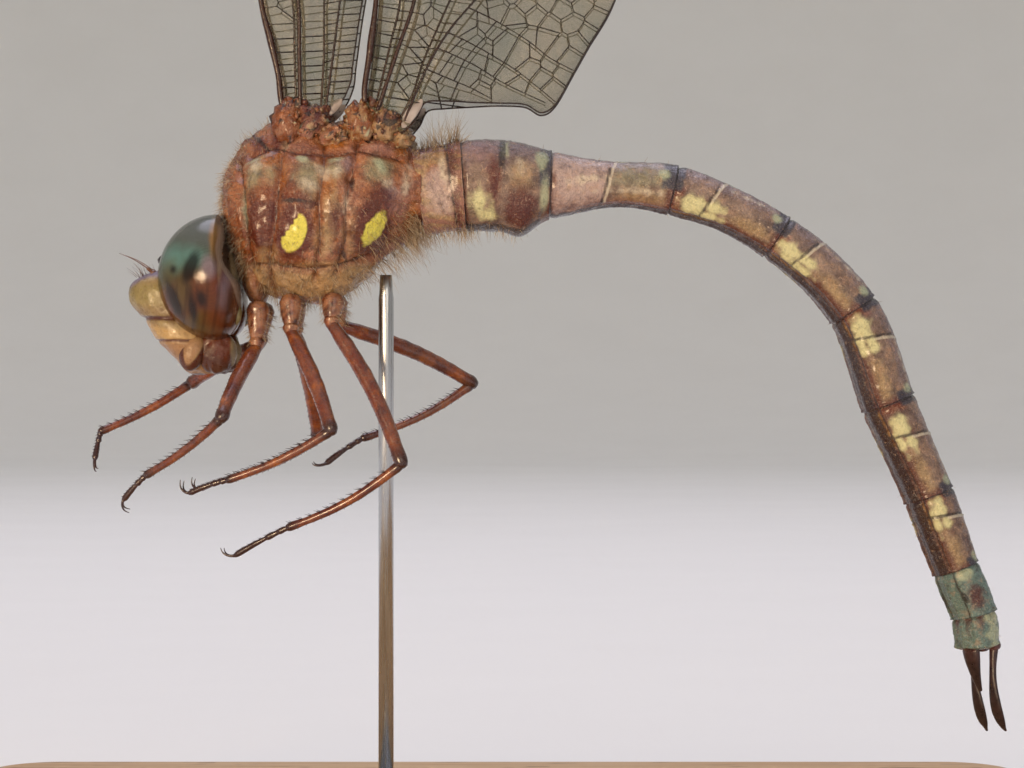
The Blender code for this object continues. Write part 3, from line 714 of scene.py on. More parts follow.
def abdomen_marks(girth, index, share, length):
    """How many millimetres each place lies inside each of the abdomen's marks."""
    around = 2.0  # millimetres round the body from its side to its back
    deepest = np.maximum.reduce

    def patch(first, last, low, high):
        """Inside a stretch of each segment, between two girths."""
        return np.minimum.reduce(
            [(share - first) * length, (last - share) * length,
             (girth - low) * around, (high - girth) * around]
        )

    def only(first, last, field):
        """The field on segments first to last, counted from 1, and nothing elsewhere."""
        return np.where((index + 1 >= first) & (index + 1 <= last), field, -1.0)

    def dot(first, last, at, girth_at, half_along, half_around):
        """Inside an ellipse on each of the segments first to last: where its middle lies, as
        a share of the length and a girth, and its half sizes in millimetres."""
        offset = np.hypot(
            (share - at) * length / half_along, (girth - girth_at) * around / half_around
        )
        return only(first, last, (1 - offset) * min(half_along, half_around))

    ridge = carina_share(index, girth)
    from_ridge = (share - ridge) * length
    wave = 0.04 * np.sin(9 * share * length) + 0.03 * np.sin(21 * girth)
    blotch = deepest([
        dot(4, 8, ridge - 0.12, -0.36 + 0.35 * (ridge - share), 0.72, 0.48),
        dot(4, 8, ridge + 0.055, -0.24, 0.55, 0.34),
        dot(4, 8, ridge + 0.04, -0.50, 0.75, 0.32),
        dot(2, 2, 0.18, -0.28, 0.46, 0.34), dot(2, 2, 0.29, -0.44, 0.42, 0.24),
    ])
    blotch = blotch - 0.03 * np.maximum(index - 4, 0) * (index > 4) + 1.6 * wave
    pale = deepest([
        dot(3, 8, 0.90, 0.28, 0.26, 0.30), dot(2, 2, 0.88, 0.43, 0.33, 0.46),
        dot(2, 2, 0.93, -0.22, 0.2, 0.5),
        only(2, 2, np.minimum(patch(0.425, 0.50, 0.35, 0.8), 0.5 * (girth - 0.3))),
        only(3, 8, patch(ridge, ridge + 0.09, 0.72, 1.2)), dot(9, 9, 0.12, -0.30, 0.3, 0.5),
        only(10, 10, 0.25 - np.abs(girth - 0.1)) + 0.1 * np.sin(8 * share * length),
    ])
    # A pale line just behind each cross ridge, partly a painted highlight where light catches
    # the ridge.
    low_end = np.where(index == 2, -0.62, -0.2)
    ridge_pale_and_highlight = np.minimum(0.09 - np.abs(from_ridge - 0.07), (girth - low_end) * around)
    slate = np.maximum(only(2, 8, patch(0.895 - 0.035 * (index < 2), 1.5, -0.08, 1.2)),
                       only(4, 8, patch(-0.5, 0.065, -0.06, 1.2))) + 0.6 * wave
    line = 0.08 - np.abs(from_ridge + 0.06)
    dark = deepest([
        only(3, 8, np.minimum(line, (0.42 - girth) * around)),
        only(2, 9, 0.04 - np.minimum(share, 1 - share) * length),
        only(3, 8, (-0.74 - girth) * around * 0.5),
        only(4, 9, 0.06 - np.abs(girth + 0.66) * around),
        only(2, 2, np.minimum(patch(0.40, 0.47, 0.15, 0.9), 0.2)) * 0.7,
        only(2, 2, patch(0.0, 0.9, -1.2, -0.66)),
        only(9, 9, 0.20 - np.hypot((share - 0.45) * length * 0.6 - 0.15,
                                   (girth + 0.72 - 0.25 * share) * around)),
        only(1, 1, 0.05 - np.abs(share - 0.74) * length + 0.8 * wave),
    ])
    maroon = deepest([
        only(4, 8, patch(0.40, 1.2, -0.66, -0.44)), dot(4, 8, 0.33, -0.25, 0.5, 0.35),
        dot(2, 2, 0.36, -0.05, 0.35, 0.7), dot(2, 2, 0.66, -0.36, 0.85, 0.66),
        only(3, 8, -0.6 - girth) * 0.5, dot(9, 9, 0.6, -0.25, 0.6, 0.45),
        only(10, 10, 0.3 - share) * 0.6 + 0.15 * np.sin(14 * girth) - 0.1,
        only(2, 8, np.maximum(patch(0.94, 1.5, -0.9, 0.1), patch(-0.5, 0.03, -0.9, 0.1))),
        only(1, 1, 0.2 - np.abs(share - 0.8) * length), dot(1, 1, 0.3, 0.75, 0.5, 0.3),
    ])
    rust = deepest([
        only(3, 8, patch(-0.2, 0.09, -0.7, 0.0)), dot(2, 2, 0.36, 0.05, 0.3, 0.4),
        dot(1, 1, 0.42, 0.1, 0.4, 0.4), dot(8, 8, 0.5, -0.2, 0.8, 0.6) - 0.5,
    ])
    tan = deepest([
        dot(3, 8, 0.76, -0.36, 1.3, 0.42), dot(2, 2, 0.66, 0.12, 0.6, 0.42),
        dot(1, 1, 0.45, 0.1, 1.2, 1.6) - 0.2 + 0.3 * np.sin(31 * girth + 9 * share),
    ])
    flesh = deepest([
        dot(3, 3, 0.7, -0.8, 2.0, 0.7), only(1, 1, 0.4),
        only(1, 1, 0.25 + 0.2 * np.sin(9 * girth)), dot(2, 2, 0.2, 0.6, 0.7, 0.7),
    ])
    return {
        "blotch": blotch, "pale": pale, "slate": slate, "dark": dark, "rust": rust, "tan": tan,
        # ridge: the pale line behind each cross ridge, partly a painted highlight.
        "ridge": only(3, 8, ridge_pale_and_highlight), "flesh": flesh, "maroon": maroon,
        "verdigris": only(9, 10, 0.5 - 0.9 * wave),
        # bloom: a painted mauve sheen, the back of segments 2 to 8 lighter where light from
        # above falls on it.
        "bloom": only(2, 8, 0.9 * (girth - 0.28)), "tail": np.full_like(share, 0.6),
        "gold": only(4, 8, patch(0.03, 0.40, -0.92, -0.68)),
        "sage": only(3, 3, patch(ridge + 0.03, 0.92, -0.05, 0.9)),
        "amber": dot(1, 1, 0.42, 0.15, 0.35, 0.35),
        "blush": np.maximum(only(3, 3, patch(-0.1, 0.44, -0.9, 0.7)),
                            dot(1, 1, 0.5, -0.1, 1.0, 0.9) - 0.2),
        # silver: painted highlights, pale glints on the third segment and along the back.
        "silver": deepest([
            dot(3, 3, 0.30, 0.05 + 0.5 * (share - 0.3), 0.9, 0.22) - 0.05,
            dot(3, 3, 0.7, -0.2, 1.1, 0.14), dot(2, 2, 0.66, 0.25, 0.5, 0.22) - 0.1,
            dot(4, 8, 0.62, 0.45, 1.5, 0.16) - 0.12,
            dot(1, 1, 0.6, 0.2, 0.3, 0.5) - 0.1,
        ]) + 2 * wave,
    }


def abdomen_shape(sizes):
    """The whole abdomen as one skin: closely spaced rings, closest at the joints."""
    step = np.concatenate(
        [np.linspace(0, 0.09, 10, endpoint=False), np.linspace(0.09, 0.9, 38, endpoint=False),
         np.linspace(0.9, 1.0, 11, endpoint=False)]
    )
    position = np.concatenate([index + step for index in range(len(ABDOMEN))] + [[TAIL_END]])
    turn = turns(ABDOMEN_COLUMNS)
    grid_position, grid_turn = np.meshgrid(position, turn, indexing="ij")
    points, girth, index, share, length = abdomen_surface(
        grid_position, grid_turn, sizes.rim_height
    )
    normals = grid_normals(points)
    points = points + normals * (
        0.018 * lumps(points, 0.7, seed=5) + 0.012 * lumps(points, 0.25, seed=6)
    )[..., None]
    marks = abdomen_marks(girth, index, share, length)
    # The open end is drawn in to a low dome.
    middle, along, _, _ = tail_frame(np.array([TAIL_END]))
    dome = [
        middle + (points[-1] - middle) * shrink + along * rise
        for shrink, rise in ((0.93, 0.06), (0.7, 0.16), (0.35, 0.2))
    ]
    rings = np.concatenate([points, np.array(dome)])
    marks = {
        name: np.concatenate([value, np.repeat(value[-1:], len(dome), axis=0)])
        for name, value in marks.items()
    }
    return lofted(rings, **marks), points, normals, girth


# --- Thorax ------------------------------------------------------------------------------------


def thorax_shape(sizes):
    """The main thorax as one skin.

    A section is an egg-shaped superellipse, narrower above and below. The surface sinks into
    the seams, and between them each plate bulges: the swell grows with the distance from the
    nearest seam and levels off.
    """
    position = np.linspace(0, len(THORAX) - 1, THORAX_RINGS)[:, None]
    turn = turns(THORAX_COLUMNS)
    x, low, high, half_width = np.moveaxis(through(THORAX, position[:, 0]), -1, 0)[..., None]
    rise = np.sin(turn)
    narrowing = np.where(rise > 0, THORAX_TOP_NARROWING, THORAX_UNDER_NARROWING)
    width = half_width * (1 - narrowing * rise * rise)
    y = width * rounded(np.cos(turn), THORAX_POWER)
    z = (low + high) / 2 + (high - low) / 2 * rounded(rise, THORAX_POWER)
    grid = together(x, y, z)
    normals = grid_normals(grid)

    side_view = on_plan(grid)
    on_side = eased(0.25, 0.6, np.abs(normals[..., 1]))
    gap = np.min([line_distance(side_view, seam) for seam in THORAX_SEAMS], axis=0)
    swell = sizes.plate_swell * (1 - np.exp(-((gap / PLATE_REACH) ** 1.5)))
    swell = swell - sizes.plate_swell * 0.75
    swell = swell - sizes.seam_depth * np.exp(-((gap / SEAM_WIDTH) ** 2))
    swell = swell * on_side
    # The front plates meet in a keel, and the back between the wings is a row of saddles.
    swell = swell + 0.12 * bump(grid[..., 1], 0.0, 0.12) * (grid[..., 0] < -11.5) * (rise > 0)
    swell = swell + 0.15 * lumps(grid, 2.2, seed=3) * (1 - on_side) * 0.7
    swell = swell + 0.045 * lumps(grid, 0.9, seed=4) + 0.022 * lumps(grid, 0.34, seed=8)
    hole = np.hypot(grid[..., 0] - SPIRACLE[0], grid[..., 2] - SPIRACLE[1])
    swell = swell - 0.35 * bump(hole, 0.0, 0.22)
    grid = grid + normals * swell[..., None]
    marks = thorax_marks(side_view, gap, on_side)
    return lofted(grid, **marks), grid, normals


def on_plan(points):
    """Where places lie on the side plan on which marks are laid out: x and z, drawn larger
    than the body by PLAN_SCALE about PLAN_CENTRE."""
    return (points[..., [0, 2]] - PLAN_CENTRE) * PLAN_SCALE + PLAN_CENTRE


def ellipse_marks(view, table):
    """How many millimetres each place on the side plan lies inside each mark: the deepest
    over its ellipses, which have a centre, half sizes and a lean."""
    return {
        name: np.max([blob(view, row[:2], row[2:4], row[4]) for row in rows], axis=0)
        for name, rows in table.items()
    }


def thorax_marks(view, gap, on_side):
    """The thorax's marks: the ellipses, and dark seams and a tan belly besides."""
    marks = ellipse_marks(view, THORAX_MARKS)
    ragged = 0.05 * np.sin(view[..., 0] * 9 + view[..., 1] * 14)
    # The front spot is cut off aslant at its upper front.
    edge = 0.805 * (view[..., 0] + 10.45) - 0.593 * (view[..., 1] - 34.45) + 1.2 * ragged
    front = np.minimum(marks["spot"], edge)
    marks["spot"] = np.where(view[..., 0] < -9, front, marks["spot"] + 0.5 * ragged)
    marks["dark"] = np.maximum(marks["dark"], (0.04 - gap) * on_side - 0.2 * (1 - on_side))
    marks["rust"] = np.maximum(marks["rust"], 0.16 - gap - (1 - on_side) * 0.3)
    marks["tan"] = np.maximum(marks["tan"], 0.9 - np.abs(view[..., 1] - 30.9))
    return marks


def neck_shape():
    """The ring behind the head, its folded membrane and the plates above the first legs."""
    centre, half = solid_middle("prothorax")
    steps = ((0.0, 0.0, 0.0), (-0.45, 0.0, 0.6), (0.1, 0.9, -0.5), (0.1, -0.9, -0.5),
             (-0.2, 0.0, 1.7))
    halves = (half, (0.75, 1.15, 0.9), (0.5, 0.75, 1.0), (0.5, 0.75, 1.0), (0.55, 1.2, 0.5))
    rings = ellipsoids(centre + steps, halves, -12.0, 28, 18, uneven=0.05, seed=21)
    return lofted(rings, rust=-0.1, tan=-0.1)


# Lumps at each wing's root, measured out from the middle plane: x, out, z, half sizes and
# whether the lump is orange-brown (1) or purple-brown (0). The first six are the mounds.
WING_ROOT_LUMPS = (
    (-11.0, 1.6, 38.9, 0.85, 0.85, 1.15, 1.0), (-9.75, 1.6, 38.85, 0.9, 0.85, 1.0, 0.1),
    (-8.6, 1.9, 38.2, 0.8, 0.8, 0.6, 0.7), (-7.25, 2.0, 38.95, 0.85, 0.7, 1.05, 0.9),
    (-6.0, 1.9, 38.75, 0.85, 0.75, 0.95, 0.1), (-5.1, 1.5, 38.1, 0.6, 0.8, 0.5, 0.6),
    (-11.25, 1.5, 39.75, 0.26, 0.34, 0.55, 1.0), (-10.5, 1.5, 39.7, 0.26, 0.34, 0.6, 0.6),
    (-10.15, 1.45, 39.9, 0.22, 0.3, 0.4, 0.0), (-9.1, 1.5, 39.4, 0.34, 0.36, 0.5, 0.0),
    (-7.05, 2.15, 39.85, 0.28, 0.34, 0.36, 0.5), (-6.62, 2.2, 39.95, 0.24, 0.32, 0.3, 0.0),
    (-6.2, 2.1, 39.5, 0.3, 0.36, 0.5, 0.0), (-5.45, 1.95, 39.1, 0.36, 0.4, 0.5, 0.0),
)


def wing_root_shapes():
    """The granular mounds from which the wings rise, on both sides: large lumps, and small
    ones scattered over them with a fixed seed."""
    mounds = np.array(WING_ROOT_LUMPS)
    rng = np.random.default_rng(33)
    parent = rng.integers(0, 6, 110)
    away = unit(rng.normal(size=(110, 3)) + (0.0, 0.7, 0.35)) * 0.95
    grains = np.column_stack([
        mounds[parent, :3] + away * mounds[parent, 3:6], rng.uniform(0.08, 0.2, (110, 3)),
        mounds[parent, 6] + rng.uniform(-0.9, 0.9, 110),
    ])
    shapes = []
    for side in SIDES.values():
        for rows, columns, uneven in ((mounds, 22, 0.22), (grains, 9, 0.2)):
            centres = rows[:, :3] * (1.0, side, 1.0)
            rings = ellipsoids(centres, rows[:, 3:6], -4.0, columns, columns * 2 // 3, uneven,
                               seed=31)
            warm = rows[:, 6][:, None, None] + 0.5 * lumps(rings, 0.4, seed=12)
            low = eased(39.2, 38.2, rings[..., 2])
            pink, pit = lumps(rings, 0.3, seed=13), lumps(rings, 0.22, seed=14)
            shapes.append(lofted(rings, rust=warm * 0.6 - 0.5, amber=warm * 0.5 - 0.45,
                                 tan=0.4 * pink + 0.15 * (rings[..., 0] + 8.3) + 0.1,
                                 flesh=0.7 * pink + 0.5 * low + 0.05, pale=0.3 * pink - 0.3,
                                 maroon=0.15 - warm * 0.7 - 0.3 * low, dark=0.35 * pit - 0.16))
    return joined(*shapes)


# --- Head --------------------------------------------------------------------------------------

FACE_BACK = -15.0
# Height, foremost x and half width of the face, from the top of the forehead to the lip.
FACE = (
    (31.42, -17.2, 0.75),
    (31.3, -18.05, 1.35),
    (31.05, -18.75, 1.75),
    (30.7, -19.3, 2.0),
    (30.2, -19.5, 2.12),
    (29.6, -19.38, 2.15),
    (29.05, -18.95, 2.12),
    (28.6, -18.55, 2.15),
    (28.1, -18.3, 2.2),
    (27.6, -17.95, 2.2),
    (27.1, -17.45, 2.05),
    (26.6, -16.95, 1.8),
    (26.2, -16.65, 1.5),
    (25.92, -16.35, 0.9),
)
FACE_POWER = 2.4
FACE_RINGS, FACE_COLUMNS = 110, 120
FACE_GROOVES = ((28.78, 0.13, 0.10), (27.62, 0.08, 0.07))  # height, width and depth


def face_shape():
    """Forehead, clypeus and lips as one skin: level superellipse sections, with a groove
    between each two plates and a slight swell within each."""
    position = np.linspace(0, len(FACE) - 1, FACE_RINGS)[:, None]
    turn = turns(FACE_COLUMNS)
    z, front, half_width = np.moveaxis(through(FACE, position[:, 0]), -1, 0)[..., None]
    middle, depth = (front + FACE_BACK) / 2, (FACE_BACK - front) / 2
    x = middle - depth * rounded(np.cos(turn), FACE_POWER)
    y = half_width * rounded(np.sin(turn), FACE_POWER)
    grid = together(x, y, z)
    normals = grid_normals(grid)
    swell = 0.018 * lumps(grid, 0.6, seed=11)
    groove = -1.0
    for height, width, deep in FACE_GROOVES:
        swell = swell - deep * bump(z, height, width)
        groove = np.maximum(groove, width * 0.8 - np.abs(z - height))
    # Two shallow dents in the clypeus, and a hollow down the middle of the upper lip.
    swell = swell - 0.10 * bump(np.hypot(np.abs(y) - 0.95, z - 28.15), 0.0, 0.28)
    swell = swell - 0.05 * bump(y, 0.0, 0.2) * eased(27.6, 27.2, z)
    grid = grid + normals * swell[..., None]
    top = np.minimum(z - 30.62, 0.5) + 0.25 * eased(-18.4, -19.2, x)
    return lofted(grid, darkred=groove, violet=top - 0.35 * eased(0.6, 1.9, np.abs(y)),
                  cream=29.0 - 0.35 * np.abs(y) - z, blush=27.55 - z,
                  olive=0.55 - np.abs(z - 30.0))


def jaw_shapes():
    """Jaws, cheeks and the lower lip: rounded plates pressed against each other."""
    shapes = []
    jaw_x, jaw_z, jaw_half = -15.98, 27.05, 0.68
    for side in SIDES.values():
        jaw = ellipsoids((jaw_x, side * 1.66, jaw_z), (jaw_half, 0.60, 1.02), 16.0, 44, 32)
        across = jaw[..., 0] - jaw_x - 0.29 * (jaw[..., 2] - jaw_z)
        narrow = jaw_half * (0.4 + 0.6 * eased(26.1, 27.5, jaw[..., 2]))
        rim = (np.abs(across / narrow) ** 3 + np.abs((jaw[..., 2] - 27.1) / 1.0) ** 3) ** (1 / 3)
        shapes.append(lofted(jaw, darkred=0.5 * (rim - 0.74), blush=0.5 * (0.9 - rim),
                             cream=0.9 * (0.5 - rim) + 0.1, olive=0.5 * (0.6 - rim)))
        cheek = ellipsoids((-14.8, side * 1.3, 27.1), (1.08, 0.82, 1.2), -12.0, 44, 32,
                           uneven=0.05)
        shapes.append(lofted(cheek, brown=0.4,
                             warm=0.35 * (cheek[..., 0] + 15.0) + 0.5 * (cheek[..., 2] - 27.2),
                             dark=cheek[..., 2] - 27.85, rim=cheek[..., 0] + 13.98))
    lip = ellipsoids((-15.55, 0.0, 26.62), (1.15, 1.55, 0.72), -18.0, 48, 30, uneven=0.02)
    return joined(*shapes, lofted(lip, brown=0.3, rim=-1.0))


def occiput_shape():
    """The back of the head: dark and shining, with an olive-tan ring behind the eyes, and a
    small pale triangle on top where the eyes meet."""
    centre, half = solid_middle("head")
    case = ellipsoids(centre, half, -6.0, 72, 60, uneven=0.012)
    x, z = case[..., 0], case[..., 2]
    ring = 0.2 - np.abs(x + 13.7 + 0.12 * (z - 31.0))
    knobs = [ellipsoids((-13.6, side * 2.1, 28.9), (0.22, 0.4, 0.5), 12.0, 26, 18, uneven=0.05)
             for side in SIDES.values()]
    triangle = ellipsoids((-15.0, 0.0, 33.75), (0.45, 0.3, 0.3), 0.0, 24, 16)
    return joined(lofted(case, dark=0.3, rim=np.minimum(ring, 0.5 * (z - 30.0))),
                  *(lofted(knob, dark=-0.02, olive=0.3) for knob in knobs),
                  lofted(triangle, cream=0.4))


def vertex_shapes():
    """The dark tubercle between the eyes with its three simple eyes."""
    centre, half = solid_middle("vertex")
    centre = centre + (0.32, 0.0, -0.1)
    beads = centre + ((-0.22, 0.0, 0.05), (-0.02, 0.34, 0.04), (-0.02, -0.34, 0.04))
    return joined(lofted(ellipsoids(centre, half * (0.75, 0.85, 0.8), 0.0, 32, 24, uneven=0.04)),
                  lofted(ellipsoids(beads, (0.13, 0.12, 0.13), 0.0, 20, 14)))


def antenna_shapes():
    """Feelers: two short thick segments and a hair-thin whip that tapers to its tip, and a
    few bristles beside them."""
    rng = np.random.default_rng(23)
    low, high = solid_box("antenna_left")
    shapes = []
    for side in SIDES.values():
        root = np.array([-17.85, side * 0.85, 30.95])
        bend = np.array([-18.4, side * 1.0, 31.4])
        tip = np.array([low[0] + 0.05, side * 1.3, high[2] - 0.1])
        for start, end, thick in ((0.0, 0.55, 0.15), (0.5, 1.0, 0.09)):
            knots = root + (bend - root) * np.linspace(start, end, 5)[:, None]
            shapes.append(tube(knots, np.full(5, thick), 14, warm=0.3))
        whip = bend + (tip - bend) * np.linspace(0.0, 1.0, 12)[:, None]
        whip[:, 2] += 0.08 * np.sin(np.linspace(0, math.pi, 12))
        shapes.append(tube(whip, np.linspace(0.032, 0.012, 12), 8, warm=-0.3))
    count = 26
    roots = np.column_stack([rng.uniform(low, high, count) for low, high in
                             ((-19.1, -17.9), (-1.5, 1.5), (30.75, 31.05))])
    reach = rng.uniform(0.4, 0.95, (count, 1, 1))
    way = unit(np.column_stack([rng.uniform(-0.9, 0.1, count), 0.4 * roots[:, 1],
                                rng.uniform(0.8, 1.2, count)]))
    t = np.array([0.0, 0.5, 1.0])[None, :, None]
    path = roots[:, None] + way[:, None] * reach * t + np.array((-0.15, 0, 0)) * t * t
    rings = swept(path, np.array([0.015, 0.011, 0.004]) * np.ones((count, 1)), 4,
                  (0.3, 0.9, 0.3))
    return joined(*shapes, lofted(rings, warm=-0.3))


# --- Eyes --------------------------------------------------------------------------------------

EYE_CENTRE = (-14.7, 1.5, 30.9)
EYE_HALF = (3.1, 3.1, 3.3)
EYE_RINGS, EYE_COLUMNS = 110, 140
# How far the rear half reaches behind the centre, every 0.6 mm up from z = 27.6.
EYE_REAR = (1.5, 1.66, 1.56, 1.42, 1.29, 1.12, 0.74, 0.48, 0.43, 0.52, 0.60, 0.62)
# Marks on the eyes, given as the thorax's are.
EYE_MARKS = {
    "crown": ((-16.05, 33.2, 1.1, 0.8, -0.6),),
    "teal": ((-17.1, 31.95, 0.7, 0.7, 0.6), (-16.2, 32.05, 0.8, 0.45, 0.3)),
    "olive": ((-17.45, 31.05, 0.45, 0.75, 0.2), (-16.7, 30.2, 0.5, 1.1, 0.0),
              (-15.8, 28.6, 1.0, 0.55, 0.0)),
    "brown": ((-14.6, 29.6, 1.0, 1.6, 0.0),),
    "red": ((-14.9, 28.75, 0.6, 0.5, 0.0), (-14.6, 30.6, 0.45, 0.9, 0.0)),
    # lilac: a painted reflection, grey-mauve glare beside the highlight and along the rear.
    "lilac": ((-15.2, 31.5, 0.42, 0.6, 0.0), (-14.35, 30.9, 0.25, 1.2, 0.15)),
    "amber": ((-15.0, 32.9, 0.22, 1.0, -0.08),),
    "sand": ((-14.72, 32.6, 0.12, 1.5, -0.02),),
    # The fourth dark ellipse, below the key light's highlight, is a painted dark reflection; the
    # others are dark patches of the eye.
    "dark": ((-17.17, 31.39, 0.17, 0.20, 0.0), (-16.2, 31.45, 0.36, 0.85, 0.35),
             (-17.15, 29.75, 0.30, 1.05, -0.35), (-15.62, 29.85, 0.24, 0.42, -0.15),
             (-16.15, 29.5, 0.22, 0.9, -0.1)),
}


def eye_shape(side):
    """One compound eye: a dome whose rear half is pressed nearly flat, and less so low down.
    Rings run from the foremost point to the rearmost, and the inner side is pressed flat
    where the two eyes meet."""
    polar = np.linspace(0.02, math.pi - 0.02, EYE_RINGS)[:, None]
    turn = turns(EYE_COLUMNS)
    cx, cy, cz = EYE_CENTRE
    z = cz + EYE_HALF[2] * np.sin(polar) * np.sin(turn)
    y = cy + EYE_HALF[1] * np.sin(polar) * np.cos(turn)
    forward = -EYE_HALF[0] * np.cos(polar) + 0 * turn
    rear = through(EYE_REAR, (z - 27.6) / 0.6)
    x = cx + np.where(forward > 0, forward * rear / EYE_HALF[0], forward)
    y = np.maximum(y, 0.04 + 0.02 * np.sin(turn))
    grid = together(x, side * y, z)
    if side < 0:
        grid, rear = grid[:, ::-1], rear[:, ::-1]
    x, z = grid[..., 0], grid[..., 2]
    marks = ellipse_marks(on_plan(grid), EYE_MARKS)
    streaks = np.cos((x + 0.18 * (z - cz) ** 2 / 3) * TAU / 0.55)
    edge = cx + rear - x
    marks["crown"] = np.maximum(marks["crown"], (z - 32.6) + 0.3 * (x + 16.4))
    marks["brown"] = np.maximum(marks["brown"], 30.9 - z + 0.4 * (x + 16.2))
    marks["streak"] = streaks * 0.5 * eased(31.2, 30.0, z) - 0.3
    marks["rim"] = 0.13 - np.abs(edge - 0.10) + 0.04 * eased(31.5, 32.5, z)
    marks["dark"] = np.maximum(marks["dark"], -0.02 - edge + 0.06)
    return lofted(grid, **marks)


# --- Legs --------------------------------------------------------------------------------------

# Share of the way along each part, half thickness, and millimetres inside the dark mark.
COXA_PROFILE = ((0.0, 0.62, -0.3), (0.25, 0.56, -0.3), (0.62, 0.44, -0.3), (0.8, 0.34, -0.05))
TROCHANTER_PROFILE = ((0.74, 0.33, -0.1), (0.86, 0.44, -0.3), (1.0, 0.36, -0.1))
THIGH_PROFILE = ((0.0, 0.32, 0.0), (0.05, 0.33, -0.05), (0.14, 0.40, -0.2), (0.45, 0.41, -0.3),
                 (0.75, 0.38, -0.3), (0.9, 0.35, -0.05), (0.965, 0.39, 0.1), (1.0, 0.33, 0.15))
SHIN_PROFILE = ((0.015, 0.22, 0.15), (0.05, 0.30, 0.12), (0.10, 0.25, -0.1), (0.5, 0.22, -0.25),
                (0.88, 0.20, -0.1), (0.97, 0.24, 0.1), (1.0, 0.19, 0.2))
FOOT_JOINTS = (0.02, 0.2, 0.42, 0.98)  # shares of the foot at which its three segments meet


def leg_limb(line, profile, sides, seed):
    """One part of a leg: a tube along a line through evenly spaced knots, whose thickness and
    dark mark follow the profile's rows of share, half thickness and depth inside the mark."""
    shares, thick, dark = np.array(profile).T
    count = max(14, 7 * len(profile))
    share = np.linspace(shares[0], shares[-1], count)
    path = through(line, share * (len(line) - 1))
    radii = np.interp(share, shares, thick)
    radii = np.convolve(np.pad(radii, 1, mode="edge"), (0.25, 0.5, 0.25), "valid")
    path, radii = domed(path, radii)
    rings = swept(path, radii, sides)
    middle = path[:, None, :]
    rings = middle + (rings - middle) * (1 + 0.035 * lumps(rings, 0.7, seed))[..., None]
    mark = np.pad(np.interp(share, shares, dark), 2, mode="edge")
    return lofted(rings, dark=mark[:, None])


def leg_spines(line, profile, shares, around, lengths, radius):
    """Spines that stand out of a limb in rows and lean towards its end: thin cones."""
    share, turn = (values.ravel() for values in np.meshgrid(shares, around, indexing="ij"))
    steps = 79
    path = through(line, np.linspace(0, len(line) - 1, steps + 1))
    along = unit(np.gradient(path, axis=0))
    first = unit(np.cross(along, (0.0, 1.0, 0.0)))
    second = np.cross(first, along)
    at = np.round(share * steps).astype(int)
    thick = np.interp(share, np.array(profile)[:, 0], np.array(profile)[:, 1])[:, None]
    away = first[at] * np.cos(turn)[:, None] + second[at] * np.sin(turn)[:, None]
    length = np.broadcast_to(lengths, (len(shares), len(around))).ravel()[:, None]
    root = path[at] + away * thick * 0.8
    reach = np.array([0.0, 0.45, 1.0])[None, :, None]
    cones = root[:, None] + (away * 0.85 + along[at] * 0.5)[:, None] * length[:, None] * reach
    cones = cones + along[at][:, None] * 0.18 * length[:, None] * reach**2
    radii = radius * np.array([1.0, 0.7, 0.12]) * np.ones((len(cones), 1))
    return lofted(swept(cones, radii, 5, (0.31, 0.52, 0.79)), dark=0.3)


